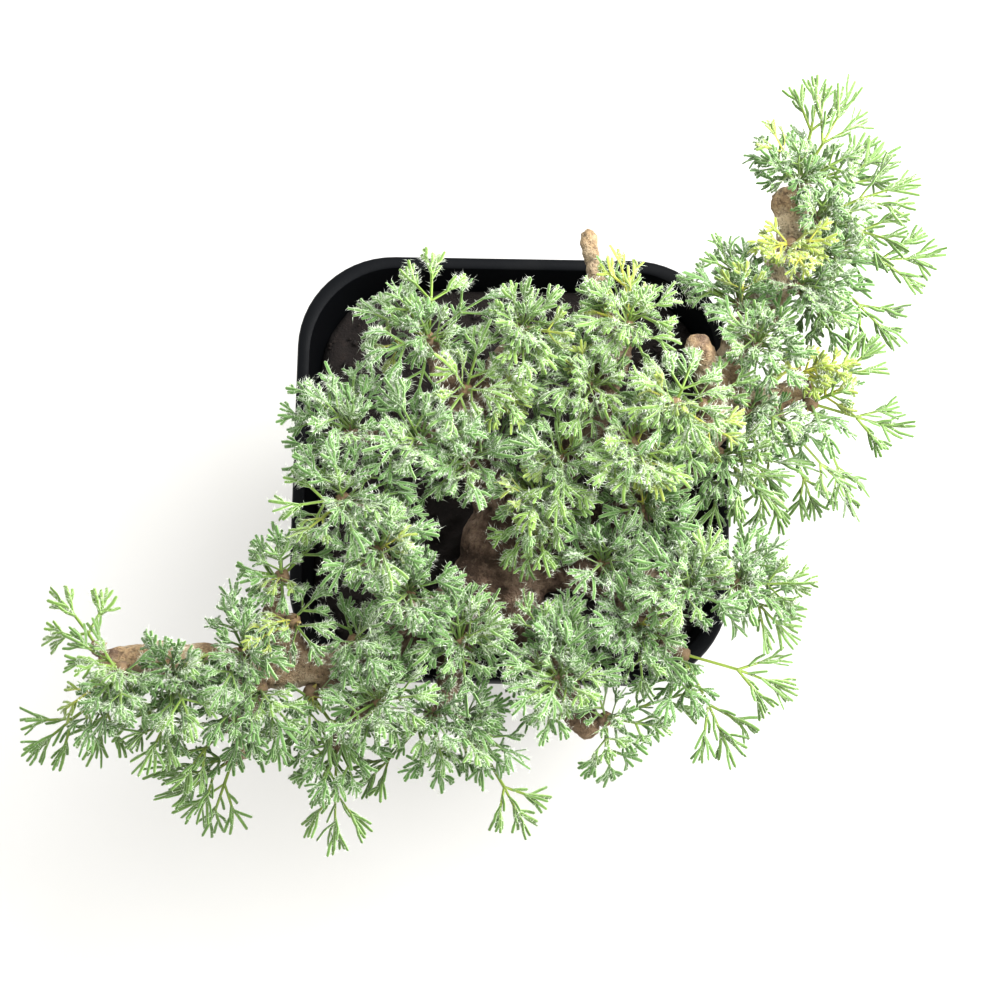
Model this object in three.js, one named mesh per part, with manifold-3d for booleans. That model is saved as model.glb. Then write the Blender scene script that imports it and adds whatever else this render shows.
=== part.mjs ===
// A Sarcocaulon multifidum in a square black nursery pot, as one grows it on a bench.
// A fat, gnarled stem comes out of the soil and spreads into low branches, some far past the rim, and short
// shoots all along them carry fans of finely cut, hairy leaves.
// Millimetres, +Z up. The origin is the middle of the pot's underside. +X runs to the pot's right side and +Y
// to its back.
import * as THREE from "three";
import { mergeVertices } from "three/addons/utils/BufferGeometryUtils.js";
import Module from "manifold-3d";

const wasm = await Module();
wasm.setup();

// Driving dimensions of the pot and its filling.
const POT_WIDTH = 100; // across the rim, outside
const POT_HEIGHT = 85;
const POT_BASE_WIDTH = 72;
const CORNER_SHARE = 0.22; // corner radius over the width at each height
const CORNER_STEPS = 5;
const WALL = 1.4;
const FLOOR = 1.8;
const RIM_REACH = 1.6; // how far the rim stands out from the wall below it
const RIM_DEPTH = 6;
const RIM_FLANGE_DEPTH = 1.2;
const DRAIN_RADIUS = 3.2;
const DRAIN_SIDES = 8;
const DRAIN_OFFSET = 20; // from the middle to each drain hole, along X and Y
const SOIL_LEVEL = 75;
const SOIL_RELIEF = 1.3;
const SOIL_RINGS = 4;
const FIT_GAP = 0.3; // clear space between pieces that only touch

// Driving dimensions of the leaves.
const PETIOLE_HALF_WIDTH = 0.5;
const LONG_PETIOLE = 6; // a shorter one tapers to a point inside the bud, this far behind its root
const ROOT_TAIL = 0.8;
const RIB_HALF_WIDTH = 0.6;
const BLADE_THICKNESS = 0.7;
const FORK_SHARE = 0.44; // how far along a rib its lobes start
const SIDE_LOBE_SHARE = 0.84; // a side lobe's length over the middle one's
const BUD_RADIUS = 1.9;
const BUD_LENGTH = 3.6;
const BUD_TIP_RADIUS = 1.1;
const BUD_SIDES = 3;
const ROOT_SHARE = 0.35; // how far up the bud its petioles start
const SEAT_STEP = 0.1;

// Each form of leaf has three ribs: the turn of the side ribs, in degrees, their reach over the middle rib's,
// the turn between lobes, the lobes' half width and their count on the right, middle and left rib.
const LEAF_FORMS = {
  fan: { ribTurn: 37, sideReach: 0.92, lobeTurn: 27, lobeHalfWidth: 0.75, lobes: [2, 3, 2] },
  open: { ribTurn: 60, sideReach: 0.9, lobeTurn: 38, lobeHalfWidth: 0.75, lobes: [3, 3, 3] },
  full: { ribTurn: 50, sideReach: 0.86, lobeTurn: 36, lobeHalfWidth: 0.8, lobes: [2, 2, 2] },
  broad: { ribTurn: 48, sideReach: 0.84, lobeTurn: 37, lobeHalfWidth: 0.95, lobes: [1, 3, 1] },
};

// How leaves keep clear of each other.
const ATTEMPTS = 60;
const SAMPLE_STEP = 1.5;
const LEAF_CLEARANCE = 1.8; // between the ribs of leaves on two shoots
const SISTER_CLEARANCE = 1.3; // between the blades of leaves on one shoot
const STEM_CLEARANCE = 1.0;
const RIM_CLEARANCE = 1.6;
const SOIL_CLEARANCE = 2.6;
const LOWEST_LEAF = 8;

// Each branch runs through points of x, y, z and radius. West is -X and north is +Y.
const BRANCHES = {
  caudex: [[-1, -25, 52, 4], [0, -24, 66, 8.5], [-1, -22, 79, 10.5], [-1, -17, 89, 9], [1, -11, 94, 6.5]],
  west: [
    [-1, -23, 82, 8.5], [-12, -34, 89, 6.4], [-25, -44, 92, 5.4], [-41, -48.5, 92.5, 4.7],
    [-54, -49.5, 93.5, 4.2], [-67, -48.5, 95, 4], [-80, -48.5, 96, 4], [-87.5, -49.5, 96.5, 3.3],
  ],
  westSpur: [[-46, -48.5, 93, 4], [-50.5, -41, 97, 3], [-52, -33, 101, 2.4]],
  southwestSpur: [[-56, -49, 92.5, 3.6], [-58, -58, 88.5, 3], [-58.5, -66, 83.5, 2.4]],
  hook: [[-17, -39, 90, 4.8], [-25, -34, 96, 3.8], [-31, -24, 102, 3.2], [-34, -16, 107, 2.5]],
  northwest: [[-2, -13, 91, 6], [-7, -3, 97, 4.6], [-12, 8, 102, 3.8], [-17, 20, 107, 3]],
  northwestFork: [[-10, 3, 100, 3.6], [-15, 1, 103, 3.2], [-23, 1.5, 105.5, 2.9], [-32, 1, 107.5, 2.4]],
  north: [[-10, 5, 101, 3.8], [-5, 14.5, 105, 3.4], [1, 22, 109, 2.8]],
  northeast: [[1, -13, 91, 6], [11, -3, 97, 4.8], [19, 10, 102, 4], [24, 24, 107, 3.2]],
  northeastFork: [[14, 1, 99, 4], [25, 1, 105, 3.3], [33.5, 6.5, 110, 2.7]],
  dryTwig: [[21.5, 17, 104, 3.2], [20, 32, 103, 3], [18, 41, 104, 2.1], [16.5, 48.5, 106.5, 1.9]],
  east: [
    [1, -18, 85, 8], [14, -14, 90, 6.2], [29, -10, 93, 5.2], [41, 1, 94.5, 4.9], [47, 13, 95.5, 4.8],
    [51, 25, 97, 4.4], [58, 37, 100, 4.2], [63, 48, 104, 4], [61, 57, 108, 3.4],
  ],
  eastStub: [[47, 14, 95.5, 4], [43.5, 19, 101.5, 3.4], [41, 22.5, 108, 2.8]],
  eastSpur: [[48, 16, 95, 4.2], [57, 14, 94.5, 3.2], [66, 17, 95.5, 2.6]],
  southeast: [[1, -22, 84, 8], [15, -25, 90, 5.4], [27, -32, 93, 4.5], [35, -42, 94.5, 3.8]],
  southeastSpur: [[22, -28, 92, 4.2], [36.5, -30, 98, 3.4], [47.5, -28, 103, 2.6]],
  south: [[0, -26, 84, 7.5], [6, -44, 91.5, 4.7], [12, -53, 92, 4], [18, -61, 91.5, 3.2]],
  southFork: [[-9, -31, 87, 5.6], [-12, -46, 92, 3.9], [-13, -57, 94, 2.9]],
  southwest: [[-26, -45, 91.5, 4.6], [-29, -54, 91.5, 3.5], [-37, -62, 91, 2.6]],
};
const BRANCH_SIDES = 7;
const TWIG_SIDES = 6;
const TWIG_RADIUS = 4.3; // a branch that starts thinner than this has fewer sides
const RING_SPACING = 9;
const KNOB_SHARE = 0.08; // how much the bark swells and narrows along a branch

// Short shoots: [name, branch, place, fans]. Each sits at a share of the way along its branch's points, from 0
// to 1, and faces its first fan.
// A fan: [heading, rise, leaves, spread, petiole, blade, droop, form], with angles in degrees. Headings turn
// from +X towards +Y, rises go up from level, and a fan's leaves stand evenly across its spread of headings.
const SHOOTS = [
  ["west_tip", "west", 1.0, [[132, 14, 1, 0, 3.5, 12.5, 14, "open"]]],
  ["west_end", "west", 0.85, [[222, -4, 1, 0, 11, 14.5, 12, "fan"], [254, -6, 1, 0, 6, 12, 12, "fan"]]],
  ["west_crest", "west", 0.92, [[262, 62, 3, 170, 2.5, 11, 50, "broad"], [148, 30, 1, 0, 4, 11, 26, "fan"]]],
  ["west_top", "west", 0.77, [[250, 52, 3, 200, 3, 12, 48, "broad"]]],
  ["west_flank", "west", 0.69, [[226, 8, 2, 36, 9, 14, 18, "fan"], [262, 56, 2, 150, 3, 12, 46, "broad"]]],
  ["west_ridge", "west", 0.61, [[90, 70, 3, 240, 3, 12, 50, "broad"]]],
  ["west_curtain", "west", 0.57, [[262, 28, 2, 80, 5, 13.5, 38, "full"]]],
  ["southwest_low", "southwestSpur", 1.0, [[222, -2, 3, 66, 6, 15, 16, "fan"]]],
  ["southwest_side", "southwestSpur", 0.6, [
    [204, 14, 2, 60, 8, 14, 22, "fan"],
    [335, 6, 1, 0, 4, 12, 30, "full"],
  ]],
  ["west_spray", "westSpur", 1.0, [
    [52, 26, 1, 0, 6, 9.5, 0, "full"],
    [225, 36, 2, 100, 2.5, 10, 40, "full"],
  ]],
  ["west_nest", "westSpur", 0.6, [[350, 40, 2, 80, 3, 11, 40, "full"]]],
  ["west_fringe", "west", 0.45, [[268, 12, 2, 60, 7, 13.5, 26, "fan"]]],
  ["west_cover", "west", 0.37, [[80, 64, 4, 270, 3.5, 13, 48, "broad"]]],
  ["southwest_tip", "southwest", 1.0, [
    [262, -4, 1, 0, 12, 14.5, 10, "fan"],
    [290, 26, 2, 110, 5, 13, 30, "full"],
  ]],
  ["southwest_bush", "southwest", 0.5, [[280, 56, 3, 240, 4.5, 13, 46, "full"]]],
  ["south_left", "southFork", 1.0, [[212, -2, 1, 0, 14, 13, 10, "fan"], [284, 0, 1, 0, 7, 10.5, 20, "open"]]],
  ["south_reach", "southFork", 0.86, [
    [303, -8, 1, 0, 18, 13, 8, "fan"],
    [230, 50, 2, 170, 4, 12.5, 44, "full"],
  ]],
  ["south_bush", "southFork", 0.5, [[60, 60, 4, 270, 4.5, 13.5, 48, "broad"]]],
  ["south_tip", "south", 1.0, [[24, 8, 1, 0, 14, 12.5, 16, "fan"], [272, -6, 1, 0, 6, 9.5, 12, "open"]]],
  ["south_mid", "south", 0.74, [[120, 54, 4, 260, 4, 13, 46, "broad"]]],
  ["south_top", "south", 0.45, [[20, 60, 4, 270, 4.5, 13.5, 48, "broad"]]],
  ["southeast_tip", "southeast", 1.0, [[322, 2, 2, 34, 12, 15, 16, "fan"]]],
  ["southeast_low", "southeast", 0.84, [[200, 50, 3, 220, 5, 13.5, 42, "broad"]]],
  ["southeast_bush", "southeast", 0.5, [[100, 62, 4, 270, 5, 14, 48, "broad"]]],
  ["southeast_spray", "southeastSpur", 1.0, [
    [318, 4, 1, 0, 6, 14, 20, "fan"],
    [20, 40, 2, 110, 4, 12.5, 40, "full"],
  ]],
  ["southeast_top", "southeastSpur", 0.6, [[280, 60, 4, 270, 5, 14, 48, "broad"]]],
  ["hook_tip", "hook", 1.0, [[150, 42, 4, 270, 5, 13.5, 44, "full"]]],
  ["hook_mid", "hook", 0.66, [[340, 58, 4, 270, 5, 13.5, 46, "broad"]]],
  ["hook_low", "hook", 0.34, [[10, 58, 3, 220, 5, 13.5, 46, "broad"]]],
  ["northwest_tip", "northwest", 1.0, [[124, 34, 4, 180, 9, 14, 38, "full"]]],
  ["northwest_top", "northwest", 0.72, [[20, 64, 4, 270, 4.5, 13.5, 50, "broad"]]],
  ["northwest_low", "northwest", 0.38, [[230, 62, 4, 270, 5, 13.5, 50, "broad"]]],
  ["left_tip", "northwestFork", 1.0, [[180, 28, 4, 170, 7, 13.5, 36, "full"]]],
  ["left_top", "northwestFork", 0.52, [[250, 60, 4, 270, 5, 13.5, 48, "broad"]]],
  ["north_tip", "north", 1.0, [[70, 56, 4, 270, 4, 12.5, 50, "full"]]],
  ["north_low", "north", 0.42, [[300, 64, 2, 120, 4.5, 13, 50, "broad"]]],
  ["northeast_tip", "northeast", 1.0, [[60, 48, 4, 270, 4.5, 13.5, 48, "full"]]],
  ["northeast_top", "northeast", 0.7, [[150, 64, 4, 270, 5, 14, 50, "broad"]]],
  ["northeast_low", "northeast", 0.4, [[230, 64, 4, 270, 5, 14, 50, "broad"]]],
  ["trunk_top", "northeast", 0.14, [[300, 66, 4, 270, 5, 13.5, 50, "broad"]]],
  ["centre_right", "northeastFork", 1.0, [[20, 50, 4, 270, 4.5, 13.5, 48, "full"]]],
  ["centre", "northeastFork", 0.55, [[290, 64, 4, 270, 5, 14, 50, "broad"]]],
  ["east_low", "east", 0.25, [[280, 62, 4, 270, 5, 14, 48, "broad"]]],
  ["east_hang", "east", 0.41, [[312, 24, 3, 84, 6, 14, 32, "fan"]]],
  ["east_inner", "east", 0.47, [[170, 60, 4, 260, 4, 13, 46, "broad"]]],
  ["right_reach", "eastSpur", 1.0, [
    [292, -6, 1, 0, 17, 14.5, 8, "fan"],
    [12, 12, 2, 50, 9, 13.5, 16, "fan"],
  ]],
  ["right_hang", "eastSpur", 0.6, [[284, 4, 3, 50, 14, 14.5, 16, "fan"]]],
  ["right_low", "eastSpur", 0.3, [[276, 26, 2, 70, 8, 13.5, 32, "full"]]],
  ["east_mid", "east", 0.6, [[20, 50, 4, 250, 4.5, 13, 44, "broad"]]],
  ["east_left", "east", 0.7, [[160, 40, 3, 200, 4, 12.5, 40, "broad"]]],
  ["east_side", "east", 0.77, [[345, 36, 3, 150, 4.5, 13, 40, "full"]]],
  ["east_reach", "east", 0.85, [[342, 6, 2, 34, 15, 15, 14, "fan"], [146, 34, 1, 0, 5, 11, 34, "full"]]],
  ["east_bush", "east", 0.92, [[12, 20, 3, 60, 10, 14.5, 22, "fan"]]],
  ["east_tip", "east", 1.0, [[52, 14, 3, 60, 12, 14.5, 16, "fan"], [6, 24, 1, 0, 6, 13.5, 26, "full"]]],
];
// Shoots that have turned yellow.
const YELLOW_SHOOTS = [
  ["yellow_arm", "east", 0.89, [[250, 56, 2, 120, 1.5, 9, 40, "full"]]],
  ["yellow_side", "eastSpur", 0.8, [[70, 60, 2, 120, 3, 9, 30, "full"]]],
];

const DEGREE = Math.PI / 180;

const MATERIALS = {
  pot: new THREE.MeshStandardMaterial({ color: 0x16171a, roughness: 0.42, metalness: 0 }),
  soil: new THREE.MeshStandardMaterial({ color: 0x241d1a, roughness: 1, metalness: 0 }),
  bark: new THREE.MeshStandardMaterial({ color: 0x85705e, roughness: 0.85, metalness: 0 }),
  leaf: new THREE.MeshStandardMaterial({ color: 0x7da57c, roughness: 0.8, metalness: 0 }),
  yellowLeaf: new THREE.MeshStandardMaterial({ color: 0xc9d24e, roughness: 0.8, metalness: 0 }),
};

// A repeatable draw between 0 and 1 for a leaf's key and a channel.
function draw(key, channel) {
  let h = Math.imul(key + 1, 0x9e3779b1) ^ Math.imul(channel + 1, 0x85ebca6b);
  h = Math.imul(h ^ (h >>> 15), 0x2c1b3c6d);
  h = Math.imul(h ^ (h >>> 12), 0x297a2d39);
  return ((h ^ (h >>> 15)) >>> 0) / 4294967296;
}

// The solid that a list of triangles encloses.
function solidFrom(positions, triangles) {
  const geometry = new THREE.BufferGeometry();
  geometry.setAttribute("position", new THREE.Float32BufferAttribute(positions, 3));
  geometry.setIndex(triangles);
  const merged = mergeVertices(geometry, 1e-4);
  return new wasm.Manifold(
    new wasm.Mesh({
      numProp: 3,
      vertProperties: merged.attributes.position.array,
      triVerts: new Uint32Array(merged.index.array),
    }),
  );
}

// A named mesh of a solid's largest body.
function meshOf(solid, name, material) {
  const body = solid.decompose().reduce((a, b) => (a.volume() > b.volume() ? a : b));
  const { vertProperties, triVerts } = body.getMesh();
  const geometry = new THREE.BufferGeometry();
  geometry.setAttribute("position", new THREE.BufferAttribute(vertProperties, 3));
  geometry.setIndex(new THREE.BufferAttribute(triVerts, 1));
  geometry.computeVertexNormals();
  const mesh = new THREE.Mesh(geometry, material);
  mesh.name = name;
  return mesh;
}

// A closed skin over rings of equal count that turn anticlockwise about the way they advance.
function skin(rings) {
  const positions = rings.flat().flatMap((p) => p.toArray());
  const count = rings[0].length;
  const last = (rings.length - 1) * count;
  const triangles = [];
  for (let k = 0; k + 1 < rings.length; k++)
    for (let i = 0; i < count; i++) {
      const a = k * count + i;
      const b = k * count + ((i + 1) % count);
      triangles.push(a, b, b + count, a, b + count, a + count);
    }
  for (let i = 1; i + 1 < count; i++) triangles.push(0, i + 1, i, last, last + i, last + i + 1);
  return solidFrom(positions, triangles);
}

// Pot and soil

function squareRing(width, z) {
  const radius = CORNER_SHARE * width;
  const inset = width / 2 - radius;
  const ring = [];
  for (let corner = 0; corner < 4; corner++)
    for (let step = 0; step <= CORNER_STEPS; step++) {
      const turn = (corner + step / CORNER_STEPS) * 90 * DEGREE;
      const sideX = corner === 0 || corner === 3 ? 1 : -1;
      const sideY = corner < 2 ? 1 : -1;
      const x = sideX * inset + radius * Math.cos(turn);
      const y = sideY * inset + radius * Math.sin(turn);
      ring.push(new THREE.Vector3(x, y, z));
    }
  return ring;
}

// The wall's outer width at a height, below the rim.
function wallWidth(z) {
  const top = POT_WIDTH - 2 * RIM_REACH;
  return POT_BASE_WIDTH + ((top - POT_BASE_WIDTH) * z) / POT_HEIGHT;
}

function potSolid() {
  const underRim = POT_HEIGHT - RIM_DEPTH;
  const innerTop = wallWidth(POT_HEIGHT) - 2 * WALL;
  const innerFloor = wallWidth(FLOOR) - 2 * WALL;
  const shell = skin([
    squareRing(POT_BASE_WIDTH - 2, 0),
    squareRing(POT_BASE_WIDTH, 1),
    squareRing(wallWidth(underRim), underRim),
    squareRing(POT_WIDTH - 0.8, underRim + RIM_FLANGE_DEPTH),
    squareRing(POT_WIDTH, POT_HEIGHT - 0.6),
    squareRing(POT_WIDTH - 1.2, POT_HEIGHT),
    squareRing(innerTop, POT_HEIGHT - 0.4),
    squareRing(innerFloor, FLOOR),
  ]);
  const drain = (x, y) => {
    const ring = (z) =>
      Array.from({ length: DRAIN_SIDES }, (_, i) => {
        const turn = (i / DRAIN_SIDES) * 2 * Math.PI;
        return new THREE.Vector3(x + DRAIN_RADIUS * Math.cos(turn), y + DRAIN_RADIUS * Math.sin(turn), z);
      });
    return skin([ring(-1), ring(FLOOR + 1)]);
  };
  let pot = shell;
  for (const x of [-1, 1])
    for (const y of [-1, 1]) pot = pot.subtract(drain(x * DRAIN_OFFSET, y * DRAIN_OFFSET));
  return pot;
}

// The crumbly top of the soil.
function soilHeight(x, y) {
  const waves = Math.sin(0.31 * x + 1.3) * Math.cos(0.27 * y) + 0.6 * Math.sin(0.83 * x - 0.71 * y);
  return SOIL_LEVEL + SOIL_RELIEF * 0.6 * waves;
}

function soilSolid(stems) {
  const bottom = FLOOR + FIT_GAP;
  const inside = (z) => wallWidth(z) - 2 * WALL - 2 * FIT_GAP;
  const rings = [squareRing(inside(bottom), bottom), squareRing(inside(SOIL_LEVEL - 3), SOIL_LEVEL - 3)];
  for (let k = 0; k < SOIL_RINGS; k++) {
    const ring = squareRing(inside(SOIL_LEVEL - 1) * (1 - k / SOIL_RINGS), 0);
    ring.forEach((p) => (p.z = soilHeight(p.x, p.y)));
    rings.push(ring);
  }
  return skin(rings).subtract(stems);
}

// Woody stems

// The point and radius at a share of a branch's length, on a smooth curve through its points.
function branchAt(points, share) {
  const last = points.length - 1;
  const place = Math.min(Math.max(share, 0), 1) * last;
  const i = Math.min(Math.floor(place), last - 1);
  const t = place - i;
  const [p0, p1, p2, p3] = [i - 1, i, i + 1, i + 2].map((k) => points[Math.min(Math.max(k, 0), last)]);
  return p1.map(
    (v, k) =>
      v +
      0.5 * t * (p2[k] - p0[k]) +
      t * t * (p0[k] - 2.5 * v + 2 * p2[k] - 0.5 * p3[k]) +
      t * t * t * (1.5 * v - 0.5 * p0[k] - 1.5 * p2[k] + 0.5 * p3[k]),
  );
}

function branchLength(points) {
  let length = 0;
  for (let i = 1; i < points.length; i++)
    length += Math.hypot(...[0, 1, 2].map((k) => points[i][k] - points[i - 1][k]));
  return length;
}

// One branch as a tapering, knobbly tube with rounded ends, made fatter by grow.
function branchSolid(points, grow) {
  const sides = points[0][3] < TWIG_RADIUS ? TWIG_SIDES : BRANCH_SIDES;
  const count = Math.max(3, Math.round(branchLength(points) / RING_SPACING) + 1);
  const stations = Array.from({ length: count }, (_, k) => {
    const [x, y, z, radius] = branchAt(points, k / (count - 1));
    const knob = 1 + KNOB_SHARE * Math.sin(2.4 * k + x);
    return { at: new THREE.Vector3(x, y, z), radius: radius * knob + grow };
  });
  const tip = stations[count - 1];
  const beyond = tip.at.clone().sub(stations[count - 2].at).normalize();
  stations.push({ at: tip.at.clone().addScaledVector(beyond, 0.65 * tip.radius), radius: 0.55 * tip.radius });
  const up = new THREE.Vector3(0.13, 0.21, 1).normalize();
  let side = new THREE.Vector3();
  const rings = stations.map(({ at, radius }, k) => {
    const before = stations[Math.max(k - 1, 0)].at;
    const after = stations[Math.min(k + 1, stations.length - 1)].at;
    const along = after.clone().sub(before).normalize();
    if (k === 0) side.crossVectors(Math.abs(along.dot(up)) > 0.9 ? new THREE.Vector3(1, 0, 0) : up, along);
    side.addScaledVector(along, -side.dot(along)).normalize();
    const lift = along.clone().cross(side);
    return Array.from({ length: sides }, (_, i) => {
      const turn = (i / sides) * 2 * Math.PI;
      return at
        .clone()
        .addScaledVector(side, radius * Math.cos(turn))
        .addScaledVector(lift, radius * Math.sin(turn));
    });
  });
  return skin(rings);
}

function stemsSolid(grow) {
  return Object.values(BRANCHES)
    .map((points) => branchSolid(points, grow))
    .reduce((a, b) => a.add(b));
}

// Leaves

function compass(heading, rise) {
  const level = Math.cos(rise * DEGREE);
  return new THREE.Vector3(
    level * Math.cos(heading * DEGREE),
    level * Math.sin(heading * DEGREE),
    Math.sin(rise * DEGREE),
  );
}

// A leaf's own plane bent into an arc: u runs out along the middle rib, v to its left and w above the blade.
function leafPoint(leaf, u, v, w) {
  const rate = (-leaf.droop * DEGREE) / (leaf.petiole + leaf.blade);
  const rise = leaf.rise * DEGREE;
  const turned = rise + rate * u;
  const straight = Math.abs(rate) < 1e-6;
  const out = straight ? u * Math.cos(rise) : (Math.sin(turned) - Math.sin(rise)) / rate;
  const height = straight ? u * Math.sin(rise) : (Math.cos(rise) - Math.cos(turned)) / rate;
  const ahead = compass(leaf.heading, 0);
  const left = compass(leaf.heading + 90, 0);
  const normal = ahead.clone().multiplyScalar(-Math.sin(turned));
  normal.z = Math.cos(turned);
  const roll = leaf.roll * DEGREE;
  const across = left.clone().multiplyScalar(Math.cos(roll)).addScaledVector(normal, Math.sin(roll));
  const above = normal.clone().multiplyScalar(Math.cos(roll)).addScaledVector(left, -Math.sin(roll));
  const point = leaf.root.clone().addScaledVector(ahead, out).addScaledVector(across, v);
  point.z += height;
  return point.addScaledVector(above, w - leaf.cup * v * v);
}

// The ribs of a blade as a tree. Each limb has a turn from its parent, a length, a half width and its limbs.
function leafTree(leaf) {
  const { ribTurn, sideReach, lobeTurn, lobeHalfWidth: width, lobes } = LEAF_FORMS[leaf.form];
  const lobe = (turn, length) => ({ turn, length: turn ? length * SIDE_LOBE_SHARE : length, width });
  const rib = (side) => {
    const reach = leaf.blade * (side ? sideReach : 1);
    const turn = side * ribTurn;
    const count = lobes[side + 1];
    if (count === 1) return { turn, length: 0.84 * reach, width };
    const turns = Array.from({ length: count }, (_, i) => (i - (count - 1) / 2) * lobeTurn);
    const limbs = turns.map((t) => lobe(t, reach * (1 - FORK_SHARE)));
    return { turn, length: reach * FORK_SHARE, width: RIB_HALF_WIDTH, limbs };
  };
  return { turn: 0, length: leaf.petiole, width: PETIOLE_HALF_WIDTH, limbs: [-1, 0, 1].map(rib) };
}

// Walks round a limb and gives the outline of its ribs thickened into lobes.
function limbOutline(limb, origin, heading, outline) {
  const step = (from, angle, length) => [
    from[0] + length * Math.cos(angle * DEGREE),
    from[1] + length * Math.sin(angle * DEGREE),
  ];
  const end = step(origin, heading, limb.length);
  if (!limb.limbs) {
    outline.push(end);
    return;
  }
  const children = limb.limbs;
  const corner = (side, child) =>
    step(end, heading + side * 90 + child.turn / 2, child.width / Math.cos((child.turn / 2) * DEGREE));
  outline.push(corner(-1, children[0]));
  children.forEach((child, i) => {
    limbOutline(child, end, heading + child.turn, outline);
    if (i + 1 < children.length) {
      const half = (children[i + 1].turn - child.turn) / 2;
      outline.push(step(end, heading + child.turn + half, child.width / Math.sin(half * DEGREE)));
    }
  });
  outline.push(corner(1, children.at(-1)));
}

function leafSolid(leaf) {
  const long = leaf.petiole > LONG_PETIOLE;
  const outline = long ? [[0, -PETIOLE_HALF_WIDTH]] : [[-ROOT_TAIL, 0]];
  limbOutline(leafTree(leaf), [0, 0], 0, outline);
  if (long) outline.push([0, PETIOLE_HALF_WIDTH]);
  const count = outline.length;
  const faces = THREE.ShapeUtils.triangulateShape(outline.map(([u, v]) => new THREE.Vector2(u, v)), []);
  const layer = (w) => outline.flatMap(([u, v]) => leafPoint(leaf, u, v, w).toArray());
  const triangles = faces.flatMap(([a, b, c]) => [a, b, c, c + count, b + count, a + count]);
  for (let i = 0; i < count; i++) {
    const next = (i + 1) % count;
    triangles.push(i, i + count, next + count, i, next + count, next);
  }
  return solidFrom([...layer(BLADE_THICKNESS / 2), ...layer(-BLADE_THICKNESS / 2)], triangles);
}

// Points along a leaf's ribs, each marked as on the petiole or on the blade.
function leafSamples(leaf) {
  const samples = [];
  const follow = (limb, origin, heading, onBlade) => {
    const count = Math.ceil(limb.length / SAMPLE_STEP);
    const [cos, sin] = [Math.cos(heading * DEGREE), Math.sin(heading * DEGREE)];
    for (let k = 1; k <= count; k++) {
      const run = (limb.length * k) / count;
      const at = leafPoint(leaf, origin[0] + run * cos, origin[1] + run * sin, 0);
      samples.push({ at, onBlade });
    }
    const end = [origin[0] + limb.length * cos, origin[1] + limb.length * sin];
    for (const child of limb.limbs ?? []) follow(child, end, heading + child.turn, true);
  };
  follow(leafTree(leaf), [0, 0], 0, false);
  return samples;
}

// Room to grow

// Distance from a point to the outside of the square rim, negative within it.
function rimDistance(point) {
  const radius = CORNER_SHARE * POT_WIDTH;
  const inset = POT_WIDTH / 2 - radius;
  const x = Math.abs(point.x) - inset;
  const y = Math.abs(point.y) - inset;
  return Math.hypot(Math.max(x, 0), Math.max(y, 0)) + Math.min(Math.max(x, y), 0) - radius;
}

function clearOfPot(point) {
  if (point.z < LOWEST_LEAF) return false;
  if (point.z > POT_HEIGHT + RIM_CLEARANCE) return true;
  const beyond = rimDistance(point);
  if (beyond > RIM_CLEARANCE) return true;
  const taper = (POT_HEIGHT - point.z) * 0.17;
  const inner = -(RIM_REACH + WALL + RIM_CLEARANCE + taper);
  return beyond < inner && point.z > SOIL_LEVEL + SOIL_CLEARANCE;
}

// Every branch as short straight stretches with a radius at each end.
function branchStretches() {
  return Object.values(BRANCHES).flatMap((points) => {
    const count = Math.max(3, Math.round(branchLength(points) / RING_SPACING) + 1);
    const stations = Array.from({ length: count }, (_, k) => branchAt(points, k / (count - 1)));
    return stations.slice(1).map((end, k) => [stations[k], end]);
  });
}

function clearOfStems(point, stretches) {
  return stretches.every(([a, b]) => {
    const run = [b[0] - a[0], b[1] - a[1], b[2] - a[2]];
    const offset = [point.x - a[0], point.y - a[1], point.z - a[2]];
    const length = run[0] ** 2 + run[1] ** 2 + run[2] ** 2;
    const along = run[0] * offset[0] + run[1] * offset[1] + run[2] * offset[2];
    const t = Math.min(1, Math.max(0, along / length));
    const away = Math.hypot(offset[0] - t * run[0], offset[1] - t * run[1], offset[2] - t * run[2]);
    return away > (a[3] + t * (b[3] - a[3])) * (1 + KNOB_SHARE) + STEM_CLEARANCE;
  });
}

// One try at a leaf: later tries stray further from the fan's own headings and are a little smaller.
function tryLeaf(root, fan, index, key, attempt) {
  const [heading, rise, leaves, spread, petiole, blade, droop, form] = fan;
  const pick = (channel) => draw(key, attempt * 8 + channel) - 0.5;
  const stray = 1 + attempt * 0.09;
  const seat = leaves > 1 ? index / (leaves - 1) - 0.5 : 0;
  const tier = leaves > 1 ? (index % 2 ? 12 : -8) : 0;
  return {
    root,
    form,
    heading: heading + seat * spread + pick(0) * 16 * stray,
    rise: Math.min(84, Math.max(-35, rise + tier + pick(1) * 14 * stray)),
    petiole: petiole * (1 + 0.4 * pick(2)),
    blade: blade * (1 + 0.2 * pick(3)) * (1 - 0.007 * attempt),
    droop: droop * (1 + 0.6 * pick(4)),
    roll: pick(5) * 50,
    cup: 0.012 * (1 + pick(6)),
  };
}

// A shoot's bud, moved out along its facing until its foot just clears the bark.
function layShoot([name, branch, place, fans], number) {
  const [x, y, z, radius] = branchAt(BRANCHES[branch], place);
  const facing = compass(fans[0][0], fans[0][1]);
  const shoot = { name, number, fans, facing, grown: [] };
  for (let reach = 0.7 * radius; ; reach += SEAT_STEP) {
    shoot.foot = new THREE.Vector3(x, y, z).addScaledVector(facing, reach);
    shoot.bud = budSolid(shoot);
    if (shoot.bud.intersect(barkRoom).isEmpty()) break;
  }
  shoot.root = shoot.foot.clone().addScaledVector(facing, ROOT_SHARE * BUD_LENGTH);
  return shoot;
}

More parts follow.
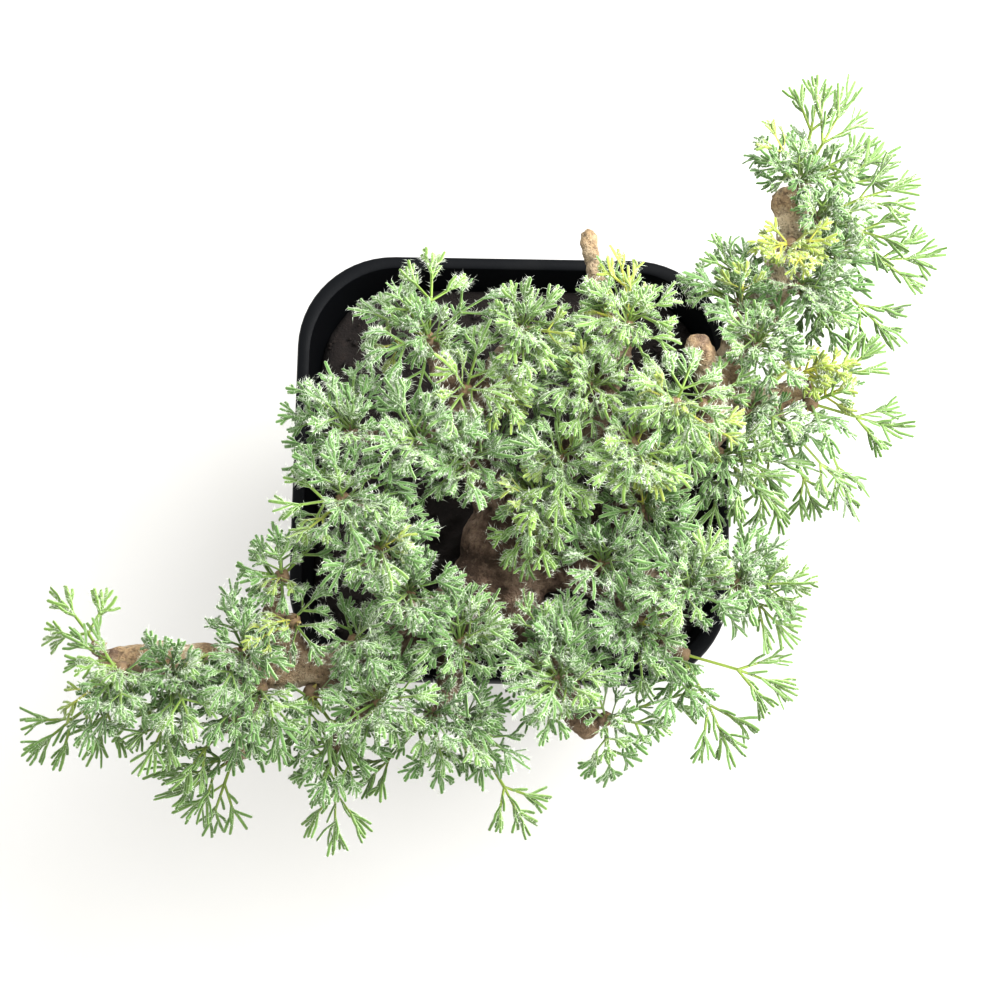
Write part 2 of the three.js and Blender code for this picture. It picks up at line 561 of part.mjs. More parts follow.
// Gives every shoot its leaves, each in the first try that is clear of the pot, the wood and the leaves so far.
function growLeaves(rows) {
  const stretches = branchStretches();
  const shoots = rows.map(layShoot);
  const taken = shoots.flatMap(({ foot, facing, number }) =>
    [0, 0.4, 0.8].map((share) => ({
      at: foot.clone().addScaledVector(facing, share * BUD_LENGTH),
      shoot: number,
      onBlade: false,
      bulk: 1,
    })),
  );
  const isFree = ({ at, onBlade }, k, shoot) => {
    if (!clearOfPot(at)) return false;
    if ((onBlade || k > 1) && !clearOfStems(at, stretches)) return false;
    return taken.every((other) => {
      const sister = other.shoot === shoot;
      if (sister && !(onBlade && other.onBlade)) return true;
      const room = (sister ? SISTER_CLEARANCE : LEAF_CLEARANCE) + other.bulk;
      return at.distanceToSquared(other.at) > room * room;
    });
  };
  for (const shoot of shoots) {
    let order = 0;
    for (const fan of shoot.fans)
      for (let index = 0; index < fan[2]; index++) {
        const key = shoot.number * 16 + order;
        order++;
        for (let attempt = 0; attempt < ATTEMPTS; attempt++) {
          const leaf = tryLeaf(shoot.root, fan, index, key, attempt);
          const samples = leafSamples(leaf);
          if (!samples.every((sample, k) => isFree(sample, k, shoot.number))) continue;
          shoot.grown.push(leaf);
          taken.push(...samples.map((sample) => ({ ...sample, shoot: shoot.number, bulk: 0 })));
          break;
        }
      }
  }
  return shoots;
}

// The bud that a shoot's petioles spring from.
function budSolid({ foot, facing }) {
  const side = new THREE.Vector3(0, 0, 1).cross(facing);
  if (side.length() < 0.1) side.set(1, 0, 0);
  side.normalize();
  const lift = facing.clone().cross(side);
  const ring = (run, radius) =>
    Array.from({ length: BUD_SIDES }, (_, i) => {
      const turn = (i / BUD_SIDES) * 2 * Math.PI;
      return foot
        .clone()
        .addScaledVector(facing, run)
        .addScaledVector(side, radius * Math.cos(turn))
        .addScaledVector(lift, radius * Math.sin(turn));
    });
  return skin([ring(0, BUD_RADIUS), ring(BUD_LENGTH, BUD_TIP_RADIUS)]);
}

// Assembly

const stems = stemsSolid(0);
const barkRoom = stemsSolid(FIT_GAP + 0.05);
const plant = new THREE.Group();
plant.add(meshOf(potSolid(), "pot", MATERIALS.pot));
plant.add(meshOf(soilSolid(barkRoom), "soil", MATERIALS.soil));
plant.add(meshOf(stems, "stems", MATERIALS.bark));
const shoots = growLeaves([...SHOOTS, ...YELLOW_SHOOTS]);
for (const shoot of shoots) {
  const spray = shoot.grown.map(leafSolid).reduce((a, b) => a.add(b), shoot.bud);
  const clear = spray.intersect(barkRoom).isEmpty() ? spray : spray.subtract(barkRoom);
  const yellow = shoot.number >= SHOOTS.length;
  plant.add(meshOf(clear, `leaves_${shoot.name}`, yellow ? MATERIALS.yellowLeaf : MATERIALS.leaf));
}

export default plant;
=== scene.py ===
"""A Sarcocaulon multifidum in a square black nursery pot, dressed and set out to be photographed from above.

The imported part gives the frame: the pot, the soil, the woody stems and the leafy short shoots. Each of them
is replaced by a finer piece that keeps its form: a pot with a rolled rim, crumbly soil, wrinkled bark, and
finely cut leaves that stand on the frame's own shoots and carry white hairs.
"""

import logging
import math
from dataclasses import dataclass, field
from enum import Enum

import bmesh
import bpy
import numpy as np
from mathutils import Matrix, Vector, noise


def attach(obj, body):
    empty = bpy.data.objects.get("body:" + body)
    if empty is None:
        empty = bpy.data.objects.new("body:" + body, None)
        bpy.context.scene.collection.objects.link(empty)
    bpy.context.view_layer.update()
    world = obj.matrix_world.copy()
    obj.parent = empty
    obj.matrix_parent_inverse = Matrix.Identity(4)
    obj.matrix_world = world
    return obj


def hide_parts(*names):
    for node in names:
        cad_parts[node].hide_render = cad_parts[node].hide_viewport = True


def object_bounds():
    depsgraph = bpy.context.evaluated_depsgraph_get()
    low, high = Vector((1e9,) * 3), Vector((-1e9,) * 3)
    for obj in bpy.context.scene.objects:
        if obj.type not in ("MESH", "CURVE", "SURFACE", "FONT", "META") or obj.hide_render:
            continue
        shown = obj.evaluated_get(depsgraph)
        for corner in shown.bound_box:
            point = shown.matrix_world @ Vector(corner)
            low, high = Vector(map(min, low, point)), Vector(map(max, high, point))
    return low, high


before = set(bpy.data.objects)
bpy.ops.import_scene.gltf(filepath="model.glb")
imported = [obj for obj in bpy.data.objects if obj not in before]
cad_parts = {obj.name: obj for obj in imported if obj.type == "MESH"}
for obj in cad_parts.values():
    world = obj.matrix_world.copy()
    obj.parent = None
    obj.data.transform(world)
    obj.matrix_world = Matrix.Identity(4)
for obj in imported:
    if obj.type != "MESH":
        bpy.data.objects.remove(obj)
CAD_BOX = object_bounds()

log = logging.getLogger("potted_shrub")

MM = 0.001

Colour = tuple[float, float, float]
Socket = bpy.types.NodeSocket
Material = bpy.types.Material
Station = tuple[float, float, float, float]

# Each branch runs through points of x, y, z and radius, in millimetres. West is -X and north is +Y.
BRANCHES: dict[str, list[Station]] = {
    "caudex": [
        (-1, -25, 52, 4), (0, -24, 66, 8.5), (-1, -22, 79, 10.5), (-1, -17, 89, 9), (1, -11, 94, 6.5),
    ],
    "west": [
        (-1, -23, 82, 8.5), (-12, -34, 89, 6.4), (-25, -44, 92, 5.4), (-41, -48.5, 92.5, 4.7),
        (-54, -49.5, 93.5, 4.2), (-67, -48.5, 95, 4), (-80, -48.5, 96, 4), (-87.5, -49.5, 96.5, 3.3),
    ],
    "westSpur": [(-46, -48.5, 93, 4), (-50.5, -41, 97, 3), (-52, -33, 101, 2.4)],
    "southwestSpur": [(-56, -49, 92.5, 3.6), (-58, -58, 88.5, 3), (-58.5, -66, 83.5, 2.4)],
    "hook": [(-17, -39, 90, 4.8), (-25, -34, 96, 3.8), (-31, -24, 102, 3.2), (-34, -16, 107, 2.5)],
    "northwest": [(-2, -13, 91, 6), (-7, -3, 97, 4.6), (-12, 8, 102, 3.8), (-17, 20, 107, 3)],
    "northwestFork": [(-10, 3, 100, 3.6), (-15, 1, 103, 3.2), (-23, 1.5, 105.5, 2.9), (-32, 1, 107.5, 2.4)],
    "north": [(-10, 5, 101, 3.8), (-5, 14.5, 105, 3.4), (1, 22, 109, 2.8)],
    "northeast": [(1, -13, 91, 6), (11, -3, 97, 4.8), (19, 10, 102, 4), (24, 24, 107, 3.2)],
    "northeastFork": [(14, 1, 99, 4), (25, 1, 105, 3.3), (33.5, 6.5, 110, 2.7)],
    "dryTwig": [(21.5, 17, 104, 3.2), (20, 32, 103, 3), (18, 41, 104, 2.1), (16.5, 48.5, 106.5, 1.9)],
    "east": [
        (1, -18, 85, 8), (14, -14, 90, 6.2), (29, -10, 93, 5.2), (41, 1, 94.5, 4.9), (47, 13, 95.5, 4.8),
        (51, 25, 97, 4.4), (58, 37, 100, 4.2), (63, 48, 104, 4), (61, 57, 108, 3.4),
    ],
    "eastStub": [(47, 14, 95.5, 4), (43.5, 19, 101.5, 3.4), (41, 22.5, 108, 2.8)],
    "eastSpur": [(48, 16, 95, 4.2), (57, 14, 94.5, 3.2), (66, 17, 95.5, 2.6)],
    "southeast": [(1, -22, 84, 8), (15, -25, 90, 5.4), (27, -32, 93, 4.5), (35, -42, 94.5, 3.8)],
    "southeastSpur": [(22, -28, 92, 4.2), (36.5, -30, 98, 3.4), (47.5, -28, 103, 2.6)],
    "south": [(0, -26, 84, 7.5), (6, -44, 91.5, 4.7), (12, -53, 92, 4), (18, -61, 91.5, 3.2)],
    "southFork": [(-9, -31, 87, 5.6), (-12, -46, 92, 3.9), (-13, -57, 94, 2.9)],
    "southwest": [(-26, -45, 91.5, 4.6), (-29, -54, 91.5, 3.5), (-37, -62, 91, 2.6)],
}

# The frame's stems have a ring every so many millimetres, and swell by this share of their radius.
RING_SPACING = 9.0
KNOB_SHARE = 0.08

# Where the trunk stands, across the pot.
TRUNK_PLACE = (0.0, -20.0)

# The branches that carry more knobs than the others, with their share of the usual number.
KNOBBIER: dict[str, float] = {"dryTwig": 2.6, "eastStub": 2.6}


class LeafForm(Enum):
    """The ways a leaf is cut."""

    FAN = "fan"
    OPEN = "open"
    FULL = "full"
    BROAD = "broad"


# Short names for the tables below.
FAN, OPEN, FULL, BROAD = LeafForm


@dataclass(frozen=True)
class Spray:
    """Leaves that a shoot bears towards one side.

    Attributes:
        heading: Degrees from +X towards +Y of the way they point.
        rise: Degrees above level at which they start.
        leaves: How many they are.
        spread: Degrees of heading that they are spread over.
        petiole: Their usual petiole, in millimetres.
        blade: Their usual blade, in millimetres.
        droop: Degrees by which they bend down along their length.
        form: How they are cut.
    """

    heading: float
    rise: float
    leaves: int
    spread: float
    petiole: float
    blade: float
    droop: float
    form: LeafForm


@dataclass(frozen=True)
class ShootPlan:
    """A short shoot of the frame: the branch it stands on and the sprays it bears.

    Attributes:
        name: Its name, without the frame's prefix.
        branch: The name of its branch.
        place: How far along the branch's points it stands, from 0 to 1.
        sprays: Its sprays; it faces the first.
    """

    name: str
    branch: str
    place: float
    sprays: tuple[Spray, ...]


SHOOTS: tuple[ShootPlan, ...] = (
    ShootPlan("west_tip", "west", 1.0, (Spray(132, 14, 1, 0, 3.5, 12.5, 14, OPEN),)),
    ShootPlan("west_end", "west", 0.85, (
        Spray(222, -4, 1, 0, 11, 14.5, 12, FAN),
        Spray(254, -6, 1, 0, 6, 12, 12, FAN),
    )),
    ShootPlan("west_crest", "west", 0.92, (
        Spray(262, 62, 3, 170, 2.5, 11, 50, BROAD),
        Spray(148, 30, 1, 0, 4, 11, 26, FAN),
    )),
    ShootPlan("west_top", "west", 0.77, (Spray(250, 52, 3, 200, 3, 12, 48, BROAD),)),
    ShootPlan("west_flank", "west", 0.69, (
        Spray(226, 8, 2, 36, 9, 14, 18, FAN),
        Spray(262, 56, 2, 150, 3, 12, 46, BROAD),
    )),
    ShootPlan("west_ridge", "west", 0.61, (Spray(90, 70, 3, 240, 3, 12, 50, BROAD),)),
    ShootPlan("west_curtain", "west", 0.57, (Spray(262, 28, 2, 80, 5, 13.5, 38, FULL),)),
    ShootPlan("southwest_low", "southwestSpur", 1.0, (Spray(222, -2, 3, 66, 6, 15, 16, FAN),)),
    ShootPlan("southwest_side", "southwestSpur", 0.6, (
        Spray(204, 14, 2, 60, 8, 14, 22, FAN),
        Spray(335, 6, 1, 0, 4, 12, 30, FULL),
    )),
    ShootPlan("west_spray", "westSpur", 1.0, (
        Spray(52, 26, 1, 0, 6, 9.5, 0, FULL),
        Spray(225, 36, 2, 100, 2.5, 10, 40, FULL),
    )),
    ShootPlan("west_nest", "westSpur", 0.6, (Spray(350, 40, 2, 80, 3, 11, 40, FULL),)),
    ShootPlan("west_fringe", "west", 0.45, (Spray(268, 12, 2, 60, 7, 13.5, 26, FAN),)),
    ShootPlan("west_cover", "west", 0.37, (Spray(80, 64, 4, 270, 3.5, 13, 48, BROAD),)),
    ShootPlan("southwest_tip", "southwest", 1.0, (
        Spray(262, -4, 1, 0, 12, 14.5, 10, FAN),
        Spray(290, 26, 2, 110, 5, 13, 30, FULL),
    )),
    ShootPlan("southwest_bush", "southwest", 0.5, (Spray(280, 56, 3, 240, 4.5, 13, 46, FULL),)),
    ShootPlan("south_left", "southFork", 1.0, (
        Spray(212, -2, 1, 0, 14, 13, 10, FAN),
        Spray(284, 0, 1, 0, 7, 10.5, 20, OPEN),
    )),
    ShootPlan("south_reach", "southFork", 0.86, (
        Spray(303, -8, 1, 0, 18, 13, 8, FAN),
        Spray(230, 50, 2, 170, 4, 12.5, 44, FULL),
    )),
    ShootPlan("south_bush", "southFork", 0.5, (Spray(60, 60, 4, 270, 4.5, 13.5, 48, BROAD),)),
    ShootPlan("south_tip", "south", 1.0, (
        Spray(24, 8, 1, 0, 14, 12.5, 16, FAN),
        Spray(272, -6, 1, 0, 6, 9.5, 12, OPEN),
    )),
    ShootPlan("south_mid", "south", 0.74, (Spray(120, 54, 4, 260, 4, 13, 46, BROAD),)),
    ShootPlan("south_top", "south", 0.45, (Spray(20, 60, 4, 270, 4.5, 13.5, 48, BROAD),)),
    ShootPlan("southeast_tip", "southeast", 1.0, (Spray(322, 2, 2, 34, 12, 15, 16, FAN),)),
    ShootPlan("southeast_low", "southeast", 0.84, (Spray(200, 50, 3, 220, 5, 13.5, 42, BROAD),)),
    ShootPlan("southeast_bush", "southeast", 0.5, (Spray(100, 62, 4, 270, 5, 14, 48, BROAD),)),
    ShootPlan("southeast_spray", "southeastSpur", 1.0, (
        Spray(318, 4, 1, 0, 6, 14, 20, FAN),
        Spray(20, 40, 2, 110, 4, 12.5, 40, FULL),
    )),
    ShootPlan("southeast_top", "southeastSpur", 0.6, (Spray(280, 60, 4, 270, 5, 14, 48, BROAD),)),
    ShootPlan("hook_tip", "hook", 1.0, (Spray(150, 42, 4, 270, 5, 13.5, 44, FULL),)),
    ShootPlan("hook_mid", "hook", 0.66, (Spray(340, 58, 4, 270, 5, 13.5, 46, BROAD),)),
    ShootPlan("hook_low", "hook", 0.34, (Spray(10, 58, 3, 220, 5, 13.5, 46, BROAD),)),
    ShootPlan("northwest_tip", "northwest", 1.0, (Spray(124, 34, 4, 180, 9, 14, 38, FULL),)),
    ShootPlan("northwest_top", "northwest", 0.72, (Spray(20, 64, 4, 270, 4.5, 13.5, 50, BROAD),)),
    ShootPlan("northwest_low", "northwest", 0.38, (Spray(230, 62, 4, 270, 5, 13.5, 50, BROAD),)),
    ShootPlan("left_tip", "northwestFork", 1.0, (Spray(180, 28, 4, 170, 7, 13.5, 36, FULL),)),
    ShootPlan("left_top", "northwestFork", 0.52, (Spray(250, 60, 4, 270, 5, 13.5, 48, BROAD),)),
    ShootPlan("north_tip", "north", 1.0, (Spray(70, 56, 4, 270, 4, 12.5, 50, FULL),)),
    ShootPlan("north_low", "north", 0.42, (Spray(300, 64, 2, 120, 4.5, 13, 50, BROAD),)),
    ShootPlan("northeast_tip", "northeast", 1.0, (Spray(60, 48, 4, 270, 4.5, 13.5, 48, FULL),)),
    ShootPlan("northeast_top", "northeast", 0.7, (Spray(150, 64, 4, 270, 5, 14, 50, BROAD),)),
    ShootPlan("northeast_low", "northeast", 0.4, (Spray(230, 64, 4, 270, 5, 14, 50, BROAD),)),
    ShootPlan("trunk_top", "northeast", 0.14, (Spray(300, 66, 4, 270, 5, 13.5, 50, BROAD),)),
    ShootPlan("centre_right", "northeastFork", 1.0, (Spray(20, 50, 4, 270, 4.5, 13.5, 48, FULL),)),
    ShootPlan("centre", "northeastFork", 0.55, (Spray(290, 64, 4, 270, 5, 14, 50, BROAD),)),
    ShootPlan("east_low", "east", 0.25, (Spray(280, 62, 4, 270, 5, 14, 48, BROAD),)),
    ShootPlan("east_hang", "east", 0.41, (Spray(312, 24, 3, 84, 6, 14, 32, FAN),)),
    ShootPlan("east_inner", "east", 0.47, (Spray(170, 60, 4, 260, 4, 13, 46, BROAD),)),
    ShootPlan("right_reach", "eastSpur", 1.0, (
        Spray(292, -6, 1, 0, 17, 14.5, 8, FAN),
        Spray(12, 12, 2, 50, 9, 13.5, 16, FAN),
    )),
    ShootPlan("right_hang", "eastSpur", 0.6, (Spray(284, 4, 3, 50, 14, 14.5, 16, FAN),)),
    ShootPlan("right_low", "eastSpur", 0.3, (Spray(276, 26, 2, 70, 8, 13.5, 32, FULL),)),
    ShootPlan("east_mid", "east", 0.6, (Spray(20, 50, 4, 250, 4.5, 13, 44, BROAD),)),
    ShootPlan("east_left", "east", 0.7, (Spray(160, 40, 3, 200, 4, 12.5, 40, BROAD),)),
    ShootPlan("east_side", "east", 0.77, (Spray(345, 36, 3, 150, 4.5, 13, 40, FULL),)),
    ShootPlan("east_reach", "east", 0.85, (
        Spray(342, 6, 2, 34, 15, 15, 14, FAN),
        Spray(146, 34, 1, 0, 5, 11, 34, FULL),
    )),
    ShootPlan("east_bush", "east", 0.92, (Spray(12, 20, 3, 60, 10, 14.5, 22, FAN),)),
    ShootPlan("east_tip", "east", 1.0, (
        Spray(52, 14, 3, 60, 12, 14.5, 16, FAN),
        Spray(6, 24, 1, 0, 6, 13.5, 26, FULL),
    )),
    ShootPlan("yellow_arm", "east", 0.89, (Spray(250, 56, 2, 120, 1.5, 9, 40, FULL),)),
    ShootPlan("yellow_side", "eastSpur", 0.8, (Spray(70, 60, 2, 120, 3, 9, 30, FULL),)),
)
YELLOW_SHOOTS = ("yellow_arm", "yellow_side")


@dataclass(frozen=True)
class Filling:
    """The smaller leaves that one pass adds to every shoot.

    Attributes:
        leaves: How many a shoot gets at most.
        rise: The lowest and highest rise, in degrees.
        petiole: The shortest and longest petiole, in millimetres.
        blade: The shortest and longest blade.
        droop: The least and the most droop, in degrees.
        room: Share of the usual room between leaves that they need.
    """

    leaves: int
    rise: tuple[float, float]
    petiole: tuple[float, float]
    blade: tuple[float, float]
    droop: tuple[float, float]
    room: float


FILLINGS = (
    Filling(4, (50, 84), (1.2, 4.5), (6.5, 10.0), (10, 60), 0.5),
    Filling(7, (0, 62), (2.5, 9.0), (8.0, 12.5), (5, 50), 0.5),
    Filling(5, (25, 84), (1.5, 7.0), (6.5, 10.0), (10, 55), 0.33),
)

# Shoots that get fewer or more of these leaves, with their share of the usual number.
FILLED_SHARE: dict[str, float] = {
    "west_tip": 0.0, "west_end": 0.2, "west_spray": 0.3, "west_flank": 0.7, "west_curtain": 0.8,
    "west_fringe": 0.5, "southwest_low": 0.2, "southwest_side": 0.2, "southwest_tip": 0.6, "south_left": 0.7,
    "south_reach": 0.9, "south_tip": 0.4, "southeast_tip": 0.4, "right_reach": 0.3, "right_hang": 0.5,
    "yellow_arm": 0.6, "yellow_side": 0.4, "trunk_top": 1.8, "hook_low": 1.4, "south_top": 1.3,
}

# Places that the leaves leave bare: x, y, width and depth where the line of sight crosses the rim's height.
BARE_PATCHES: tuple[tuple[float, float, float, float], ...] = (
    (-43.6, 29.5, 11.5, 18), (-46.5, -8.5, 6, 5), (-42, -33.5, 10, 16), (-14, -18.5, 9, 15),
    (-8.7, 17, 8, 4), (-2, 44.5, 33, 7), (39.7, 30, 7.5, 18), (16.8, -26, 5, 6.5),
    (-5.5, -12.5, 8.5, 15), (44, -40, 9, 9), (-46.5, -48, 12, 7), (-88, -46.5, 9, 6),
    (-77, -40.5, 26, 3.5), (47.5, 18, 8, 11), (63, 61, 7, 10),
)

# Leaves that hang over the trunk from one shoot: heading, rise, petiole, blade and droop.
TRUNK_SHOOT = "trunk_top"
TRUNK_LEAVES: tuple[tuple[float, float, float, float, float], ...] = (
    (246, 16, 7, 12, 30), (262, 14, 9, 11, 26), (228, 26, 5, 9, 30),
)


@dataclass(frozen=True)
class LeafCut:
    """How one form of leaf is cut.

    Attributes:
        rib_turn: Degrees from the middle rib to a side rib.
        side_reach: A side rib's reach over the middle one's.
        lobe_turn: Degrees between the lobes of a rib.
        lobes: Lobes on the right, middle and left rib.
        half_width: Half a finger's width, in millimetres.
        limpness: Degrees by which its fingers turn down at most.
        opening: The least and the most degrees from a lobe to its side fingers.
        comb: How far its lobes turn back to run alongside the leaf, from 0 to 1.
    """

    rib_turn: float
    side_reach: float
    lobe_turn: float
    lobes: tuple[int, int, int]
    half_width: float
    limpness: float
    opening: tuple[float, float]
    comb: float = 0.45


LEAF_CUTS: dict[LeafForm, LeafCut] = {
    FAN: LeafCut(37, 0.92, 27, (2, 3, 2), 0.38, 28, (20, 34), 0.3),
    OPEN: LeafCut(60, 0.9, 38, (3, 3, 3), 0.42, 34, (24, 38)),
    FULL: LeafCut(50, 0.86, 36, (2, 2, 2), 0.42, 60, (30, 46)),
    BROAD: LeafCut(48, 0.84, 37, (1, 3, 1), 0.42, 65, (30, 46)),
}

# Along a rib's reach: where it forks into lobes, a side lobe's length over the middle one's, and how far a
# rib goes that the frame doesn't fork.
FORK_SHARE = 0.44
SIDE_LOBE_SHARE = 0.84
LONE_RIB_SHARE = 0.84

# The visual leaf forks such a rib in two, with this turn between the lobes.
LONE_RIB_LOBES = 2
LONE_RIB_TURN = 30

# Where a lobe's side fingers grow along it, and their length over the lobe's.
SIDE_FINGERS = ((0.2, 0.62), (0.44, 0.5), (0.66, 0.34))
FAN_FINGERS = ((0.1, 0.82), (0.4, 0.62))

# Where a rib's side fingers grow along it, and their length over the rib's reach.
RIB_FINGERS = (0.85,)
FAN_RIB_FINGERS = (0.85, 0.4)
RIB_FINGER_SHARE = 0.32
SHORTEST_FINGER = 2.1

# The frame's buds, in millimetres: their size, the share of their length where petioles start, and the steps
# in which the frame moves a bud out until it stands clear.
BUD_RADIUS = 1.9
BUD_LENGTH = 3.6
BUD_SIDES = 3
ROOT_SHARE = 0.35
SEAT_START = 0.7
SEAT_STEP = 0.1
SEAT_STEPS = 120
SEAT_TOLERANCE = 0.05

# The middle of the plant, which stands in full light. Its leaves' colour gets painted light, and leaves
# outside it painted shade.
CROWN_PLACE = (14.0, 12.0)
CROWN_REACH = 27.0

# Millimetres between the points by which a leaf is tested for room.
SAMPLE_STEP = 1.5


def compass(heading: float, rise: float) -> np.ndarray:
    """Gives a direction from its heading and its rise.

    Args:
        heading: Degrees from +X towards +Y.
        rise: Degrees above level.

    Returns:
        The unit vector.
    """
    level = math.cos(math.radians(rise))
    turn = math.radians(heading)
    return np.array([level * math.cos(turn), level * math.sin(turn), math.sin(math.radians(rise))])


def draw(key: int, channel: int) -> float:
    """Draws a repeatable number between 0 and 1, as the frame does for its leaves.

    Args:
        key: The leaf's own number.
        channel: Which of the leaf's draws this is.

    Returns:
        The number drawn.
    """
    whole = 0xFFFFFFFF
    bits = (((key + 1) * 0x9E3779B1) ^ ((channel + 1) * 0x85EBCA6B)) & whole
    bits = ((bits ^ (bits >> 15)) * 0x2C1B3C6D) & whole
    bits = ((bits ^ (bits >> 12)) * 0x297A2D39) & whole
    return (bits ^ (bits >> 15)) / (whole + 1)


def unit(way: np.ndarray) -> np.ndarray:
    """Scales a direction to length 1."""
    return way / np.linalg.norm(way)


def branch_at(points: list[Station], share: float) -> np.ndarray:
    """Finds a place on the smooth curve through a branch's points.

    Args:
        points: The branch's points, each x, y, z and radius.
        share: How far along the points, from 0 to 1.

    Returns:
        The x, y, z and radius there.
    """
    last = len(points) - 1
    place = min(max(share, 0.0), 1.0) * last
    i = min(int(place), last - 1)
    t = place - i
    p0, p1, p2, p3 = (np.array(points[min(max(k, 0), last)], float) for k in (i - 1, i, i + 1, i + 2))
    return (
        p1
        + 0.5 * t * (p2 - p0)
        + t * t * (p0 - 2.5 * p1 + 2 * p2 - 0.5 * p3)
        + t * t * t * (1.5 * p1 - 0.5 * p0 - 1.5 * p2 + 0.5 * p3)
    )


def branch_length(points: list[Station]) -> float:
    """Adds up the straight lines between a branch's points, in millimetres."""
    return sum(math.dist(a[:3], b[:3]) for a, b in zip(points, points[1:]))


def frame_rings(points: list[Station]) -> int:
    """Counts the rings that the frame's stems have along a branch."""
    return max(3, round(branch_length(points) / RING_SPACING) + 1)


def stations_along(points: list[Station], count: int) -> list[np.ndarray]:
    """Spreads places evenly along a branch's points, each x, y, z and radius."""
    return [branch_at(points, k / (count - 1)) for k in range(count)]


def tube_faces(rings: int, sides: int, pointed: bool) -> np.ndarray:
    """Lists the triangles of a closed tube.

    Args:
        rings: Rings along the tube.
        sides: Points round each ring, anticlockwise about the way along.
        pointed: Whether one more point closes the far end.

    Returns:
        The triangles, each of three point numbers.
    """
    faces: list[tuple[int, int, int]] = []
    for ring in range(rings - 1):
        for i in range(sides):
            a = ring * sides + i
            b = ring * sides + (i + 1) % sides
            faces += [(a, b, b + sides), (a, b + sides, a + sides)]
    faces += [(0, i + 1, i) for i in range(1, sides - 1)]
    last = (rings - 1) * sides
    if pointed:
        faces += [(last + i, last + (i + 1) % sides, rings * sides) for i in range(sides)]
    else:
        faces += [(last, last + i, last + i + 1) for i in range(1, sides - 1)]
    return np.array(faces)


def lump(steps: int) -> tuple[np.ndarray, np.ndarray]:
    """Makes a unit ball of triangles.

    Args:
        steps: How many times each face is split; 1 leaves the twenty faces.

    Returns:
        Its points and its triangles.
    """
    grid = bmesh.new()
    bmesh.ops.create_icosphere(grid, subdivisions=steps, radius=1.0)
    points = np.array([v.co[:] for v in grid.verts])
    faces = np.array([[v.index for v in f.verts] for f in grid.faces])
    grid.free()
    return points, faces


def random_turn(rng: np.random.Generator) -> np.ndarray:
    """Draws a turn in space as a matrix."""
    q, _ = np.linalg.qr(rng.normal(size=(3, 3)))
    return q * np.sign(np.linalg.det(q))


def bake_modifiers(thing: bpy.types.Object) -> None:
    """Turns an object's modifiers into plain mesh.

    Args:
        thing: The object, which keeps its name and its materials.
    """
    graph = bpy.context.evaluated_depsgraph_get()
    graph.update()
    made = bpy.data.meshes.new_from_object(thing.evaluated_get(graph), depsgraph=graph)
    old = thing.data
    name = old.name
    thing.modifiers.clear()
    thing.data = made
    bpy.data.meshes.remove(old)
    made.name = name


@dataclass
class MeshDraft:
    """Points and triangles gathered for one mesh, in millimetres."""

    points: list[np.ndarray] = field(default_factory=list)
    faces: list[np.ndarray] = field(default_factory=list)
    tones: list[np.ndarray] = field(default_factory=list)
    finishes: list[np.ndarray] = field(default_factory=list)
    count: int = 0

    def add(
        self, points: np.ndarray, faces: np.ndarray, tones: np.ndarray | None = None, finish: int = 0
    ) -> None:
        """Adds a closed skin.

        Args:
            points: One x, y, z a point.
            faces: Three point numbers a triangle, counted from 0 within these points.
            tones: Four shades a point, which the finish mixes its colours by.
            finish: The number of the finish among the mesh's finishes.
        """
        self.points.append(points)
        self.faces.append(faces + self.count)
        self.tones.append(np.zeros((len(points), 4)) if tones is None else tones)
        self.finishes.append(np.full(len(faces), finish))
        self.count += len(points)

    def triangles(self) -> int:
        """Counts the triangles gathered so far."""
        return sum(len(faces) for faces in self.faces)

    def build(self, name: str, finishes: list[Material], smooth: bool = True) -> bpy.types.Object:
        """Makes the object.

        Args:
            name: The object's name.
            finishes: Its materials in order.
            smooth: Whether its faces are shaded as one curved skin.

        Returns:
            The new object, linked to the scene.
        """
        points = np.concatenate(self.points) * MM
        faces = np.concatenate(self.faces).astype(np.int32)
        mesh = bpy.data.meshes.new(name)
        mesh.vertices.add(len(points))
        mesh.vertices.foreach_set("co", points.astype(np.float32).ravel())
        mesh.loops.add(faces.size)
        mesh.loops.foreach_set("vertex_index", faces.ravel())
        mesh.polygons.add(len(faces))
        mesh.polygons.foreach_set("loop_start", np.arange(0, faces.size, 3, dtype=np.int32))
        mesh.polygons.foreach_set("material_index", np.concatenate(self.finishes).astype(np.int32))
        mesh.polygons.foreach_set("use_smooth", np.full(len(faces), smooth))
        mesh.update(calc_edges=True)
        tone = mesh.attributes.new("tone", "FLOAT_COLOR", "POINT")
        tone.data.foreach_set("color", np.concatenate(self.tones).astype(np.float32).ravel())
        for finish in finishes:
            mesh.materials.append(finish)
        thing = bpy.data.objects.new(name, mesh)
        bpy.context.scene.collection.objects.link(thing)
        return thing


